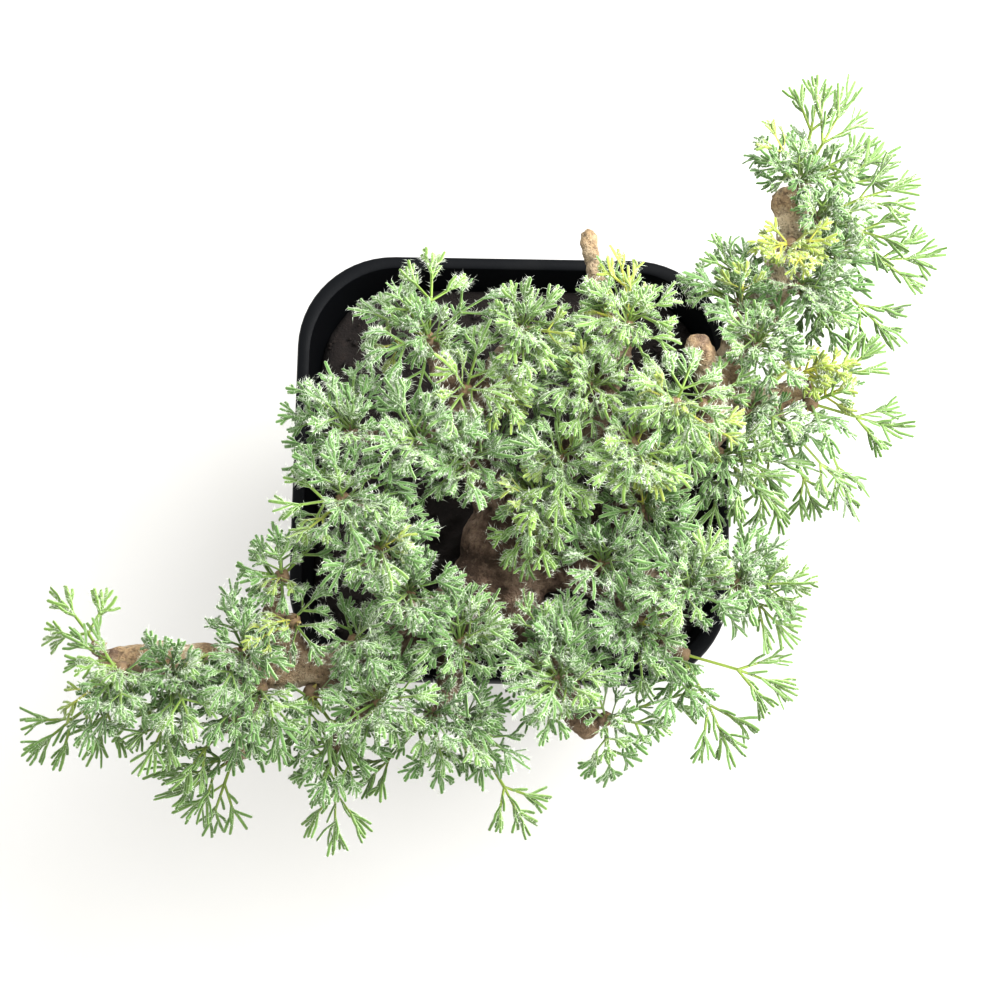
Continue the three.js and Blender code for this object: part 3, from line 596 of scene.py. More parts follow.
class NodeBench:
    """A material's node tree with short calls for what the finishes share."""

    def __init__(self, name: str) -> None:
        """Starts a material with one Principled shader.

        Args:
            name: The material's name.
        """
        self.material = bpy.data.materials.new(name)
        self.material.use_nodes = True
        self.nodes = self.material.node_tree.nodes
        self.links = self.material.node_tree.links
        self.shader = self.nodes["Principled BSDF"]

    def wire(self, source: Socket, target: Socket) -> None:
        """Joins two sockets."""
        self.links.new(source, target)

    def noise(self, scale: float, detail: float, roughness: float = 0.55) -> Socket:
        """Adds a noise over the object's own space.

        Args:
            scale: Waves a metre.
            detail: Octaves.
            roughness: How strong the finer octaves are.

        Returns:
            The noise's value.
        """
        place = self.nodes.new("ShaderNodeTexCoord")
        grain = self.nodes.new("ShaderNodeTexNoise")
        grain.inputs["Scale"].default_value = scale
        grain.inputs["Detail"].default_value = detail
        grain.inputs["Roughness"].default_value = roughness
        self.wire(place.outputs["Object"], grain.inputs["Vector"])
        return grain.outputs["Fac"]

    def ramp(self, value: Socket, stops: list[tuple[float, Colour]]) -> Socket:
        """Turns a value into colours.

        Args:
            value: The value.
            stops: Places and their colours, lowest first.

        Returns:
            The colour.
        """
        ramp = self.nodes.new("ShaderNodeValToRGB")
        elements = ramp.color_ramp.elements
        while len(elements) < len(stops):
            elements.new(0.5)
        for element, (place, colour) in zip(elements, stops):
            element.position = place
            element.color = (*colour, 1)
        self.wire(value, ramp.inputs["Fac"])
        return ramp.outputs["Color"]

    def span(self, value: Socket, low: float, high: float, start: float = 0.0, end: float = 1.0) -> Socket:
        """Stretches a value's range from low to high over start to end, clamped.

        Args:
            value: The value.
            low: Where the range starts.
            high: Where it ends.
            start: The result at low.
            end: The result at high.

        Returns:
            The new value.
        """
        node = self.nodes.new("ShaderNodeMapRange")
        node.inputs["From Min"].default_value = low
        node.inputs["From Max"].default_value = high
        node.inputs["To Min"].default_value = start
        node.inputs["To Max"].default_value = end
        self.wire(value, node.inputs["Value"])
        return node.outputs["Result"]

    def blend(self, share: Socket | float, first: Socket | Colour, second: Socket | Colour) -> Socket:
        """Mixes two colours.

        Args:
            share: How much of the second.
            first: A colour or its socket.
            second: A colour or its socket.

        Returns:
            The mixed colour.
        """
        mix = self.nodes.new("ShaderNodeMix")
        mix.data_type = "RGBA"
        sockets = (mix.inputs["Factor"], mix.inputs[6], mix.inputs[7])
        for socket, value in zip(sockets, (share, first, second)):
            if isinstance(value, Socket):
                self.wire(value, socket)
            elif isinstance(value, float):
                socket.default_value = value
            else:
                socket.default_value = (*value, 1)
        return mix.outputs[2]

    def tone(self) -> tuple[Socket, ...]:
        """Reads the mesh's four tones, which MeshDraft stores.

        Returns:
            The four values.
        """
        source = self.nodes.new("ShaderNodeAttribute")
        source.attribute_name = "tone"
        split = self.nodes.new("ShaderNodeSeparateColor")
        self.wire(source.outputs["Color"], split.inputs["Color"])
        return (*(split.outputs[name] for name in ("Red", "Green", "Blue")), source.outputs["Alpha"])

    def bump(self, height: Socket, depth: float, strength: float) -> None:
        """Adds relief to the shader's normal.

        Args:
            height: The relief, from 0 to 1.
            depth: Its depth in metres.
            strength: How much of it shows.
        """
        bump = self.nodes.new("ShaderNodeBump")
        bump.inputs["Distance"].default_value = depth
        bump.inputs["Strength"].default_value = strength
        self.wire(height, bump.inputs["Height"])
        self.wire(bump.outputs["Normal"], self.shader.inputs["Normal"])

    def colour(self, source: Socket) -> None:
        """Gives the shader its base colour."""
        self.wire(source, self.shader.inputs["Base Color"])

    def set(self, **values: float) -> None:
        """Sets plain numbers on the shader, with underscores for the spaces in the sockets' names."""
        for name, value in values.items():
            self.shader.inputs[name.replace("_", " ")].default_value = value


@dataclass(frozen=True)
class LeafFinish:
    """Living leaf: a green groove between paler, hairy margins, on a yellow-green petiole, with painted light
    and painted shade mixed into each leaf's colour by how open it stands.

    Attributes:
        name: The material's name.
        groove: Colour along the middle of a finger.
        margin: Colour towards its sides.
        petiole: Colour of the petiole.
        edge: Colour of the very edge.
        painted_light: Painted light: the lighter yellow-green that leaves open to the sky and in the sunlit
            crown are mixed towards.
        painted_shade: Painted shade: the darker green that covered leaves and leaves outside the crown are
            mixed towards.
        fading: What an ageing leaf turns to.
    """

    name: str
    groove: Colour
    margin: Colour
    petiole: Colour
    edge: Colour = (0.6, 0.7, 0.5)
    painted_light: Colour = (0.25, 0.37, 0.05)
    painted_shade: Colour = (0.07, 0.165, 0.035)
    fading: Colour = (0.52, 0.5, 0.07)

    def make(self) -> Material:
        """Makes the material.

        Returns:
            The new material.
        """
        bench = NodeBench(self.name)
        margin, along, chance, age = bench.tone()
        blade = bench.blend(bench.span(margin, 0.25, 0.85), self.groove, self.margin)
        speckle = bench.noise(1100, 3)
        blade = bench.blend(bench.span(speckle, 0.42, 0.78, 0.0, 0.4), blade, self.margin)
        blade = bench.blend(bench.span(margin, 0.7, 1.0, 0.0, 0.7), blade, self.edge)
        coloured = bench.blend(bench.span(along, 0.2, 0.6), self.petiole, blade)
        # Painted light and shade: the third tone lightens a leaf towards the painted light colour where it is
        # high and darkens it towards the painted shade colour where it is low.
        with_painted_light = bench.blend(bench.span(chance, 0.35, 1.0, 0.0, 0.5), coloured, self.painted_light)
        shaded = bench.blend(bench.span(chance, 0.0, 0.4, 0.45, 0.0), with_painted_light, self.painted_shade)
        bench.colour(bench.blend(age, shaded, self.fading))
        bench.bump(bench.noise(2600, 2), 0.00012, 0.5)
        bench.set(Roughness=0.6, Sheen_Weight=0.25, Sheen_Roughness=0.5)
        return bench.material


LIVING_LEAF = LeafFinish("leaf", (0.055, 0.135, 0.02), (0.3, 0.445, 0.185), (0.19, 0.28, 0.045))
YELLOWED_LEAF = LeafFinish("yellow_leaf", (0.2, 0.3, 0.03), (0.48, 0.58, 0.18), (0.5, 0.5, 0.08))


@dataclass(frozen=True)
class HairFinish:
    """The fine white hairs of the leaves."""

    name: str = "leaf_hair"
    colour: Colour = (0.92, 0.95, 0.86)
    shade: Colour = (0.74, 0.84, 0.64)

    def make(self) -> Material:
        """Makes the material.

        Returns:
            The new material.
        """
        bench = NodeBench(self.name)
        bench.colour(bench.ramp(bench.noise(300, 2), [(0.3, self.shade), (0.6, self.colour)]))
        bench.set(Roughness=0.45)
        return bench.material


@dataclass(frozen=True)
class BudFinish:
    """The buds' dry scales, from yellow at the tips to brown at the foot."""

    name: str = "bud_scale"
    dull: Colour = (0.2, 0.13, 0.07)
    straw: Colour = (0.36, 0.27, 0.13)
    yellow: Colour = (0.5, 0.47, 0.14)
    foot: Colour = (0.19, 0.14, 0.1)
    stain: Colour = (0.1, 0.07, 0.04)

    def make(self) -> Material:
        """Makes the material.

        Returns:
            The new material.
        """
        bench = NodeBench(self.name)
        _, along, chance, _ = bench.tone()
        dry = bench.ramp(chance, [(0.1, self.dull), (0.5, self.straw), (0.9, self.yellow)])
        clean = bench.blend(bench.span(along, 0.0, 0.7), self.foot, dry)
        grain = bench.noise(1400, 4)
        bench.colour(bench.blend(bench.span(grain, 0.45, 0.7, 0.0, 0.6), clean, self.stain))
        bench.bump(grain, 0.0002, 0.7)
        bench.set(Roughness=0.8)
        return bench.material


@dataclass(frozen=True)
class BarkFinish:
    """Brown-grey bark, with paler skin peeling off and dark cracks."""

    name: str = "bark"
    brown: Colour = (0.08, 0.053, 0.037)
    mauve: Colour = (0.2, 0.137, 0.1)
    skin: Colour = (0.4, 0.3, 0.225)
    crack: Colour = (0.035, 0.023, 0.016)
    tan: Colour = (0.42, 0.305, 0.185)
    cream: Colour = (0.6, 0.5, 0.36)

    def make(self) -> Material:
        """Makes the material.

        Returns:
            The new material.
        """
        bench = NodeBench(self.name)
        hollow, youth, _, _ = bench.tone()
        patches = bench.noise(110, 6, 0.6)
        grain = bench.noise(700, 7, 0.68)
        flecks = bench.noise(2600, 3)
        old = bench.ramp(patches, [(0.4, self.brown), (0.5, self.mauve), (0.64, self.skin)])
        fresh = bench.ramp(patches, [(0.33, self.mauve), (0.45, self.tan), (0.62, self.cream)])
        base = bench.blend(youth, old, fresh)
        pale = bench.blend(youth, self.skin, self.cream)
        grey = bench.blend(bench.span(grain, 0.52, 0.72, 0.0, 0.5), base, pale)
        dark = bench.blend(bench.span(grain, 0.47, 0.34, 0.0, 0.7), grey, self.brown)
        scabs = bench.blend(bench.span(flecks, 0.6, 0.68, 0.0, 0.55), dark, self.crack)
        bench.colour(bench.blend(bench.span(hollow, 0.3, 1.0, 0.0, 0.8), scabs, self.crack))
        rough = bench.blend(0.4, bench.span(grain, 0.3, 0.7), bench.span(flecks, 0.3, 0.7))
        bench.bump(rough, 0.001, 0.85)
        bench.set(Roughness=0.82, Specular_IOR_Level=0.3)
        return bench.material


@dataclass(frozen=True)
class PlasticFinish:
    """Black injection-moulded plastic with a soft sheen and a little dust."""

    name: str = "pot_plastic"
    colour: Colour = (0.0045, 0.0052, 0.0065)
    dust: Colour = (0.016, 0.016, 0.0165)

    def make(self) -> Material:
        """Makes the material.

        Returns:
            The new material.
        """
        bench = NodeBench(self.name)
        film = bench.noise(60, 8, 0.7)
        specks = bench.noise(1800, 2)
        dusty = bench.blend(bench.span(film, 0.48, 0.75, 0.0, 0.5), self.colour, self.dust)
        bench.colour(bench.blend(bench.span(specks, 0.68, 0.74, 0.0, 0.5), dusty, self.dust))
        bench.wire(bench.span(film, 0.35, 0.75, 0.42, 0.6), bench.shader.inputs["Roughness"])
        bench.bump(bench.noise(1500, 3), 0.00006, 0.4)
        bench.set(Specular_IOR_Level=0.12)
        return bench.material


@dataclass(frozen=True)
class SoilFinish:
    """Dark, damp potting soil with a few paler grains."""

    name: str = "soil"
    hollow: Colour = (0.008, 0.007, 0.007)
    peat: Colour = (0.021, 0.016, 0.015)
    crown: Colour = (0.05, 0.034, 0.028)
    damp: Colour = (0.015, 0.012, 0.011)
    dry: Colour = (0.036, 0.026, 0.021)
    chip: Colour = (0.1, 0.08, 0.06)
    grit: Colour = (0.24, 0.21, 0.17)
    dust: Colour = (0.08, 0.06, 0.05)

    def make(self) -> Material:
        """Makes the material.

        Returns:
            The new material.
        """
        bench = NodeBench(self.name)
        clods = bench.noise(420, 8, 0.7)
        grains = bench.noise(2200, 3)
        _, _, chance, _ = bench.tone()
        ground = bench.ramp(clods, [(0.3, self.hollow), (0.55, self.peat), (0.75, self.crown)])
        crumb = bench.ramp(chance, [(0.0, self.damp), (0.85, self.dry), (0.96, self.chip), (1.0, self.grit)])
        mixed = bench.blend(0.5, ground, crumb)
        bench.colour(bench.blend(bench.span(grains, 0.66, 0.74, 0.0, 0.3), mixed, self.dust))
        bench.bump(bench.blend(0.5, clods, grains), 0.001, 0.8)
        bench.set(Roughness=0.95)
        return bench.material


@dataclass(frozen=True)
class FloorFinish:
    """A near-white tabletop with faint cream clouds."""

    name: str = "pale_floor"
    white: Colour = (0.3, 0.3, 0.298)
    cream: Colour = (0.285, 0.283, 0.273)
    glow: Colour = (1.0, 0.985, 0.945)

    def make(self) -> Material:
        """Makes the material.

        Returns:
            The new material.
        """
        bench = NodeBench(self.name)
        bench.colour(bench.ramp(bench.noise(6, 5), [(0.4, self.white), (0.7, self.cream)]))
        bench.set(Roughness=0.9, Specular_IOR_Level=0.2, Emission_Strength=0.37)
        bench.shader.inputs["Emission Color"].default_value = (*self.glow, 1)
        return bench.material


@dataclass
class NurseryPot:
    """The square pot: a tapered, round-cornered shell with a rolled rim and four drain holes."""

    width: float = 100.0
    height: float = 85.0
    base_width: float = 72.0
    corner_share: float = 0.22
    corner_steps: int = 14
    wall: float = 1.4
    floor: float = 1.8
    rim_reach: float = 1.6
    rim_depth: float = 6.0
    drain_radius: float = 3.2
    drain_offset: float = 20.0
    drain_sides: int = 32
    sharp_angle: float = 38.0

    def ring(self, width: float, z: float) -> np.ndarray:
        """Draws one level outline of the pot.

        Args:
            width: Across the outline, in millimetres.
            z: Its height.

        Returns:
            The outline's points, anticlockwise seen from above.
        """
        radius = self.corner_share * width
        inset = width / 2 - radius
        points = []
        for corner, (x, y) in enumerate(((1, 1), (-1, 1), (-1, -1), (1, -1))):
            for step in range(self.corner_steps + 1):
                turn = (corner + step / self.corner_steps) * math.pi / 2
                points.append((x * inset + radius * math.cos(turn), y * inset + radius * math.sin(turn), z))
        return np.array(points)

    def wall_width(self, z: float) -> float:
        """Gives the wall's outer width at a height, below the rim."""
        top = self.width - 2 * self.rim_reach
        return self.base_width + (top - self.base_width) * z / self.height

    def inner_width(self, z: float) -> float:
        """Gives the width between the walls at a height, below the rim."""
        return self.wall_width(z) - 2 * self.wall

    def profile(self) -> list[tuple[float, float]]:
        """Draws the shell's section: round the foot, up the outside, over the rim and down the inside.

        Returns:
            The width and the height of each ring.
        """
        under = self.height - self.rim_depth
        neck = self.wall_width(under)
        inside = self.width - 2 * (self.rim_reach + self.wall)
        rows = [(self.base_width - less, z) for less, z in ((3, 0.0), (1.2, 0.25), (0.3, 1.0))]
        rows += [(self.wall_width(z), z) for z in (2.5, 20.0, 40.0, 60.0, under - 1.4)]
        rows += [(neck + 0.3, under - 0.5), (neck + 1.0, under)]
        rows += [(self.width - less, under + up) for less, up in ((0.9, 0.35), (0.3, 0.9), (0.1, 2.0))]
        roll = ((0.0, 1.3), (0.2, 0.6), (0.7, 0.15), (1.5, 0.0))
        rows += [(self.width - less, self.height - down) for less, down in roll]
        rows += [(inside + more, self.height - down) for more, down in ((1.3, 0.0), (0.4, 0.25), (0.0, 1.0))]
        rows += [(self.inner_width(z), z) for z in (self.height - 3.0, 70.0, 50.0, 30.0, self.floor + 2.0)]
        bottom = self.inner_width(self.floor)
        rows += [(bottom - 0.6, self.floor + 0.4), (bottom - 2, self.floor)]
        return rows

    def build(self, finish: Material) -> bpy.types.Object:
        """Makes the pot.

        Args:
            finish: The plastic.

        Returns:
            The pot, in place of the frame's own.
        """
        rings = np.array([self.ring(width, z) for width, z in self.profile()])
        draft = MeshDraft()
        draft.add(rings.reshape(-1, 3), tube_faces(len(rings), rings.shape[1], False))
        pot = draft.build("nursery_pot", [finish])
        self.drill(pot)
        pot.data.shade_smooth()
        pot.data.set_sharp_from_angle(angle=math.radians(self.sharp_angle))
        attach(pot, "root")
        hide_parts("pot")
        return pot

    def drill(self, pot: bpy.types.Object) -> None:
        """Cuts the drain holes through the pot's floor.

        Args:
            pot: The shell.
        """
        turns = np.arange(self.drain_sides) / self.drain_sides * 2 * math.pi
        circle = np.stack([np.cos(turns), np.sin(turns), np.zeros_like(turns)], 1) * self.drain_radius
        margin = 1.0
        draft = MeshDraft()
        for x in (-1, 1):
            for y in (-1, 1):
                foot = circle + np.array([x * self.drain_offset, y * self.drain_offset, -margin])
                points = np.concatenate([foot, foot + np.array([0, 0, self.floor + 2 * margin])])
                draft.add(points, tube_faces(2, self.drain_sides, False))
        drills = draft.build("drills", [])
        cut = pot.modifiers.new("drains", "BOOLEAN")
        cut.operation = "DIFFERENCE"
        cut.object = drills
        cut.solver = "EXACT"
        bake_modifiers(pot)
        bpy.data.objects.remove(drills)


@dataclass
class PottingSoil:
    """The soil in the pot: a crumbly top on a solid filling, with loose crumbs pressed into it.

    Lengths are in millimetres. Its shoulder is how far its rounded edge lies below its top.
    """

    pot: NurseryPot
    level: float = 75.0
    relief: float = 1.3
    gap: float = 0.3
    shoulder: float = 1.2
    rings: int = 46
    crumbs: int = 700
    seed: int = 11

    def height_at(self, x: float, y: float) -> float:
        """Gives the soil's height, with the frame's waves and finer lumps.

        Args:
            x: Place along X, in millimetres.
            y: Place along Y.

        Returns:
            The height in millimetres.
        """
        waves = math.sin(0.31 * x + 1.3) * math.cos(0.27 * y) + 0.6 * math.sin(0.83 * x - 0.71 * y)
        lumps = noise.fractal(Vector((x, y, 3.1)) * 0.35, 0.8, 2.2, 4)
        return self.level + self.relief * (0.6 * waves + 0.55 * lumps)

    def width_at(self, z: float) -> float:
        """Gives the filling's width at a height."""
        return self.pot.inner_width(z) - 2 * self.gap

    def filling(self) -> MeshDraft:
        """Makes the solid filling: two rings down its side, and the lumpy top from the edge inwards.

        Returns:
            The filling's draft.
        """
        rows = [self.pot.ring(self.width_at(z), z) for z in (self.pot.floor + self.gap, self.level - 4)]
        for k in range(self.rings):
            ring = self.pot.ring(self.width_at(self.level - 1) * (1 - k / self.rings), 0)
            ring[:, 2] = [self.height_at(x, y) for x, y, _ in ring]
            if k == 0:
                ring[:, 2] -= self.shoulder
            rows.append(ring)
        rings = np.array(rows)
        draft = MeshDraft()
        tones = np.full((rings.shape[0] * rings.shape[1], 4), 0.3)
        draft.add(rings.reshape(-1, 3), tube_faces(len(rings), rings.shape[1], False), tones)
        return draft

    def crumb_heap(self) -> MeshDraft:
        """Strews the crumbs: small, uneven lumps half sunk in the top, most of them fine.

        Returns:
            The crumbs' draft.
        """
        rng = np.random.default_rng(self.seed)
        ball, faces = lump(1)
        draft = MeshDraft()
        reach = self.pot.wall_width(self.level) / 2 - self.pot.wall - 1.6
        straight = reach * 0.6
        while draft.count < self.crumbs * len(ball):
            x, y = rng.uniform(-reach, reach, 2)
            if math.hypot(max(abs(x) - straight, 0), max(abs(y) - straight, 0)) > reach * 0.4:
                continue
            size = 0.35 + 0.95 * rng.random() ** 2.4
            shape = ball * (size * rng.uniform(0.6, 1.3, 3)) * rng.uniform(0.8, 1.2, (len(ball), 1))
            shape = shape @ random_turn(rng).T
            shape = shape + np.array([x, y, self.height_at(x, y) + 0.25 * size])
            draft.add(shape, faces, np.tile([0, 0, rng.random(), 0], (len(ball), 1)))
        return draft

    def build(self, finish: Material) -> list[bpy.types.Object]:
        """Makes the soil.

        Args:
            finish: The soil's material.

        Returns:
            The filling and its crumbs.
        """
        filling = self.filling().build("potting_soil", [finish])
        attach(filling, "root")
        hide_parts("soil")
        crumbs = self.crumb_heap().build("soil_crumbs", [finish], smooth=False)
        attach(crumbs, "root")
        return [filling, crumbs]


@dataclass
class WoodyStems:
    """The fat stem and its branches: fused, knobbly tubes with wrinkled bark.

    Attributes:
        sides: Points round a branch, before the branches are fused.
        spacing: Millimetres between its rings.
        end_rings: The rings that round off its end: how far past it and how wide, over its radius.
        voxel: Millimetres between the points of the fused bark.
        knobs_per_mm: Knobs for each millimetre of branch.
        young_from: Distance from the trunk at which the bark starts to look younger, in millimetres.
        young_over: Distance over which it does so.
        depth: How far the wrinkles reach, in millimetres.
        seed: Where the random draws start.
    """

    sides: int = 20
    spacing: float = 1.6
    end_rings: tuple[tuple[float, float], ...] = ((0.35, 0.92), (0.65, 0.7), (0.85, 0.4))
    voxel: float = 0.88
    knobs_per_mm: float = 0.16
    young_from: float = 26.0
    young_over: float = 46.0
    depth: float = 0.75
    seed: int = 5

    def tube(self, draft: MeshDraft, points: list[Station]) -> None:
        """Adds one branch as a tube that swells and narrows as the frame's does.

        Args:
            draft: Where it goes.
            points: The branch's points.
        """
        count = max(8, round(branch_length(points) / self.spacing))
        stations = np.array(stations_along(points, count))
        centres, radii = stations[:, :3], stations[:, 3]
        phase = np.linspace(0, frame_rings(points) - 1, count)
        radii = radii * (1 + KNOB_SHARE * np.sin(2.4 * phase + centres[:, 0]))
        end = unit(centres[-1] - centres[-2])
        for share, size in self.end_rings:
            centres = np.vstack([centres, centres[count - 1] + end * radii[count - 1] * share])
            radii = np.append(radii, radii[count - 1] * size)
        side = np.array([0.31, 0.95, 0.07])
        rings = []
        turns = np.arange(self.sides) / self.sides * 2 * math.pi
        for k, (centre, radius) in enumerate(zip(centres, radii)):
            along = unit(centres[min(k + 1, len(centres) - 1)] - centres[max(k - 1, 0)])
            side = unit(side - along * side.dot(along))
            lift = np.cross(along, side)
            rings.append(centre + radius * (np.outer(np.cos(turns), side) + np.outer(np.sin(turns), lift)))
        draft.add(np.concatenate(rings), tube_faces(len(rings), self.sides, False))

    def knobs(self, draft: MeshDraft, points: list[Station], share: float, rng: np.random.Generator) -> None:
        """Adds a branch's knobs, where leaves have grown and dropped.

        Args:
            draft: Where they go.
            points: The branch's points.
            share: How many of the usual knobs it gets.
            rng: The seeded generator.
        """
        ball, faces = lump(3)
        for _ in range(round(branch_length(points) * self.knobs_per_mm * share)):
            x, y, z, radius = branch_at(points, rng.uniform(0.08, 0.98))
            way = unit(rng.normal(size=3))
            size = radius * rng.uniform(0.28, 0.5)
            centre = np.array([x, y, z]) + way * (radius * 0.98 - size * 0.45)
            draft.add(ball * size * rng.uniform(0.8, 1.2, 3) + centre, faces)

    def build(self, finish: Material) -> bpy.types.Object:
        """Makes the stems.

        Args:
            finish: The bark.

        Returns:
            The fused stems.
        """
        rng = np.random.default_rng(self.seed)
        draft = MeshDraft()
        for name, points in BRANCHES.items():
            self.tube(draft, points)
            self.knobs(draft, points, KNOBBIER.get(name, 1.0), rng)
        stems = draft.build("woody_stems", [finish])
        fuse = stems.modifiers.new("fuse", "REMESH")
        fuse.mode = "VOXEL"
        fuse.voxel_size = self.voxel * MM
        soften = stems.modifiers.new("soften", "SMOOTH")
        soften.factor = 0.5
        soften.iterations = 3
        bake_modifiers(stems)
        self.wrinkle(stems)
        stems.data.shade_smooth()
        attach(stems, "root")
        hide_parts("stems")
        return stems

    def wrinkle(self, stems: bpy.types.Object) -> None:
        """Raises the bark's wrinkles and stores how deep each point lies for the finish.

        Args:
            stems: The fused stems.
        """
        mesh = stems.data
        count = len(mesh.vertices)
        places = np.zeros(count * 3, np.float32)
        normals = np.zeros(count * 3, np.float32)
        mesh.vertices.foreach_get("co", places)
        mesh.vertices.foreach_get("normal", normals)
        places = places.reshape(-1, 3) / MM
        rises = np.zeros(count)
        tones = np.ones((count, 4))
        foot_x, foot_y = TRUNK_PLACE
        from_trunk = np.hypot(places[:, 0] - foot_x, places[:, 1] - foot_y)
        youth = np.clip((from_trunk - self.young_from) / self.young_over, 0, 1)
        for i, point in enumerate(places):
            place = Vector(point)
            line = abs(noise.noise(place * 0.33 + Vector((0, 0, 0.4 * noise.noise(place * 0.9)))))
            furrow = max(0.0, 1 - line / 0.09)
            fine = noise.fractal(place * 0.55, 0.8, 2.2, 3)
            swells = noise.fractal(place * 0.16, 0.9, 2.1, 3)
            rises[i] = 0.55 * swells - 0.35 * furrow + (0.3 + 0.4 * youth[i]) * fine
            tones[i, 0] = min(1.0, 0.75 * furrow + max(0.0, -0.6 * fine))
        tones[:, 1] = youth
        places = places + normals.reshape(-1, 3) * (rises * self.depth)[:, None]
        mesh.vertices.foreach_set("co", (places * MM).astype(np.float32).ravel())
        mesh.update()
        tone = mesh.attributes.get("tone") or mesh.attributes.new("tone", "FLOAT_COLOR", "POINT")
        tone.data.foreach_set("color", tones.astype(np.float32).ravel())


def walk_rib(
    start: tuple[float, float], heading: float, length: float
) -> tuple[list[tuple[float, float, float]], tuple[float, float]]:
    """Walks straight along a rib of the flat leaf.

    Args:
        start: Its start, along the middle rib and to its left.
        heading: Its turn to the left, in degrees.
        length: Its length in millimetres.

    Returns:
        A point at every step, and the rib's end.
    """
    count = math.ceil(length / SAMPLE_STEP)
    cos, sin = math.cos(math.radians(heading)), math.sin(math.radians(heading))
    runs = [length * k / count for k in range(1, count + 1)]
    points = [(start[0] + run * cos, start[1] + run * sin, 0.0) for run in runs]
    return points, (start[0] + length * cos, start[1] + length * sin)


@dataclass
class Leaf:
    """Where one leaf stands and how it is bent, in degrees and millimetres.

    Attributes:
        root: Where its petiole starts.
        form: How it is cut.
        heading: Degrees from +X towards +Y.
        rise: Degrees above level at its root.
        petiole: The petiole's length.
        blade: The blade's length.
        droop: Degrees by which it bends down along its length.
        roll: Degrees by which it leans to one side.
        cup: How much its sides turn down, for each millimetre.
        key: Its own number, which its random draws start from.
        young: How young it is, from 0 to 1; a young leaf has thinner fingers.
        fading: How far it has turned yellow, from 0 to 1.
    """

    root: np.ndarray
    form: LeafForm
    heading: float
    rise: float
    petiole: float
    blade: float
    droop: float
    roll: float
    cup: float
    key: int
    young: float = 0.0
    fading: float = 0.0

    def place(self, points: np.ndarray) -> np.ndarray:
        """Bends points of the flat leaf into its arc.

        Args:
            points: Along the middle rib, to its left, and above the blade.

        Returns:
            The same points in the frame, in millimetres.
        """
        u, v, w = points[:, 0], points[:, 1], points[:, 2]
        rate = -math.radians(self.droop) / (self.petiole + self.blade)
        rise = math.radians(self.rise)
        turned = rise + rate * u
        if abs(rate) < 1e-6:
            out = u * math.cos(rise)
            height = u * math.sin(rise)
        else:
            out = (np.sin(turned) - math.sin(rise)) / rate
            height = (math.cos(rise) - np.cos(turned)) / rate
        ahead = compass(self.heading, 0)
        left = compass(self.heading + 90, 0)
        normal = -ahead * np.sin(turned)[:, None]
        normal[:, 2] += np.cos(turned)
        roll = math.radians(self.roll)
        across = left * math.cos(roll) + normal * math.sin(roll)
        above = normal * math.cos(roll) - left * math.sin(roll)
        placed = self.root + ahead * out[:, None] + across * v[:, None]
        placed[:, 2] += height
        return placed + above * (w - self.cup * v * v)[:, None]

    def samples(self) -> tuple[np.ndarray, np.ndarray]:
        """Spreads points along the ribs of the frame's coarser leaf.

        Returns:
            The points in the frame, and whether each is on the blade.
        """
        cut = LEAF_CUTS[self.form]
        flat, hub = walk_rib((0.0, 0.0), 0.0, self.petiole)
        on_petiole = len(flat)
        for side in (-1, 0, 1):
            reach = self.blade * (cut.side_reach if side else 1)
            turn = side * cut.rib_turn
            count = cut.lobes[side + 1]
            if count == 1:
                flat += walk_rib(hub, turn, LONE_RIB_SHARE * reach)[0]
                continue
            rib, fork = walk_rib(hub, turn, reach * FORK_SHARE)
            flat += rib
            for i in range(count):
                lobe = (i - (count - 1) / 2) * cut.lobe_turn
                length = reach * (1 - FORK_SHARE)
                flat += walk_rib(fork, turn + lobe, length * SIDE_LOBE_SHARE if lobe else length)[0]
        return self.place(np.array(flat)), np.arange(len(flat)) >= on_petiole


@dataclass
class Shoot:
    """A short shoot: its bud on the bark and its leaves."""

    plan: ShootPlan
    number: int
    facing: np.ndarray = field(init=False)
    foot: np.ndarray = field(init=False)
    leaves: list[Leaf] = field(default_factory=list)

    def __post_init__(self) -> None:
        """Faces the first spray and finds how far the frame's own bud stands off the branch."""
        self.facing = compass(self.plan.sprays[0].heading, self.plan.sprays[0].rise)
        x, y, z, radius = branch_at(BRANCHES[self.plan.branch], self.plan.place)
        side, lift = self.across()
        turns = np.arange(BUD_SIDES) * 2 * math.pi / BUD_SIDES
        corners = BUD_RADIUS * (np.outer(np.cos(turns), side) + np.outer(np.sin(turns), lift))
        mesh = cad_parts[self.node()].data
        known = np.zeros(len(mesh.vertices) * 3, np.float32)
        mesh.vertices.foreach_get("co", known)
        known = known.reshape(-1, 3) / MM
        starts = [SEAT_START * radius + k * SEAT_STEP for k in range(SEAT_STEPS)]
        feet = [np.array([x, y, z]) + self.facing * start for start in starts]
        misses = [
            max(np.linalg.norm(known - (foot + corner), axis=1).min() for corner in corners) for foot in feet
        ]
        best = int(np.argmin(misses))
        if misses[best] > SEAT_TOLERANCE:
            log.warning("%s: bud found only within %.2f mm", self.plan.name, misses[best])
        self.foot = feet[best]

    def across(self) -> tuple[np.ndarray, np.ndarray]:
        """Gives the level way across the bud, and the one at a right angle to it and to the bud."""
        side = unit(np.cross([0, 0, 1.0], self.facing))
        return side, np.cross(self.facing, side)

    def node(self) -> str:
        """Gives the name of the frame's node for this shoot."""
        return f"leaves_{self.plan.name}"

    def is_yellow(self) -> bool:
        """Tells whether it has yellowed."""
        return self.plan.name in YELLOW_SHOOTS

    def in_crown(self) -> bool:
        """Tells whether it stands in the sunlit middle of the plant."""
        return math.dist(self.foot[:2], CROWN_PLACE) < CROWN_REACH

    def root(self) -> np.ndarray:
        """Gives the point that its petioles spring from."""
        return self.foot + self.facing * ROOT_SHARE * BUD_LENGTH


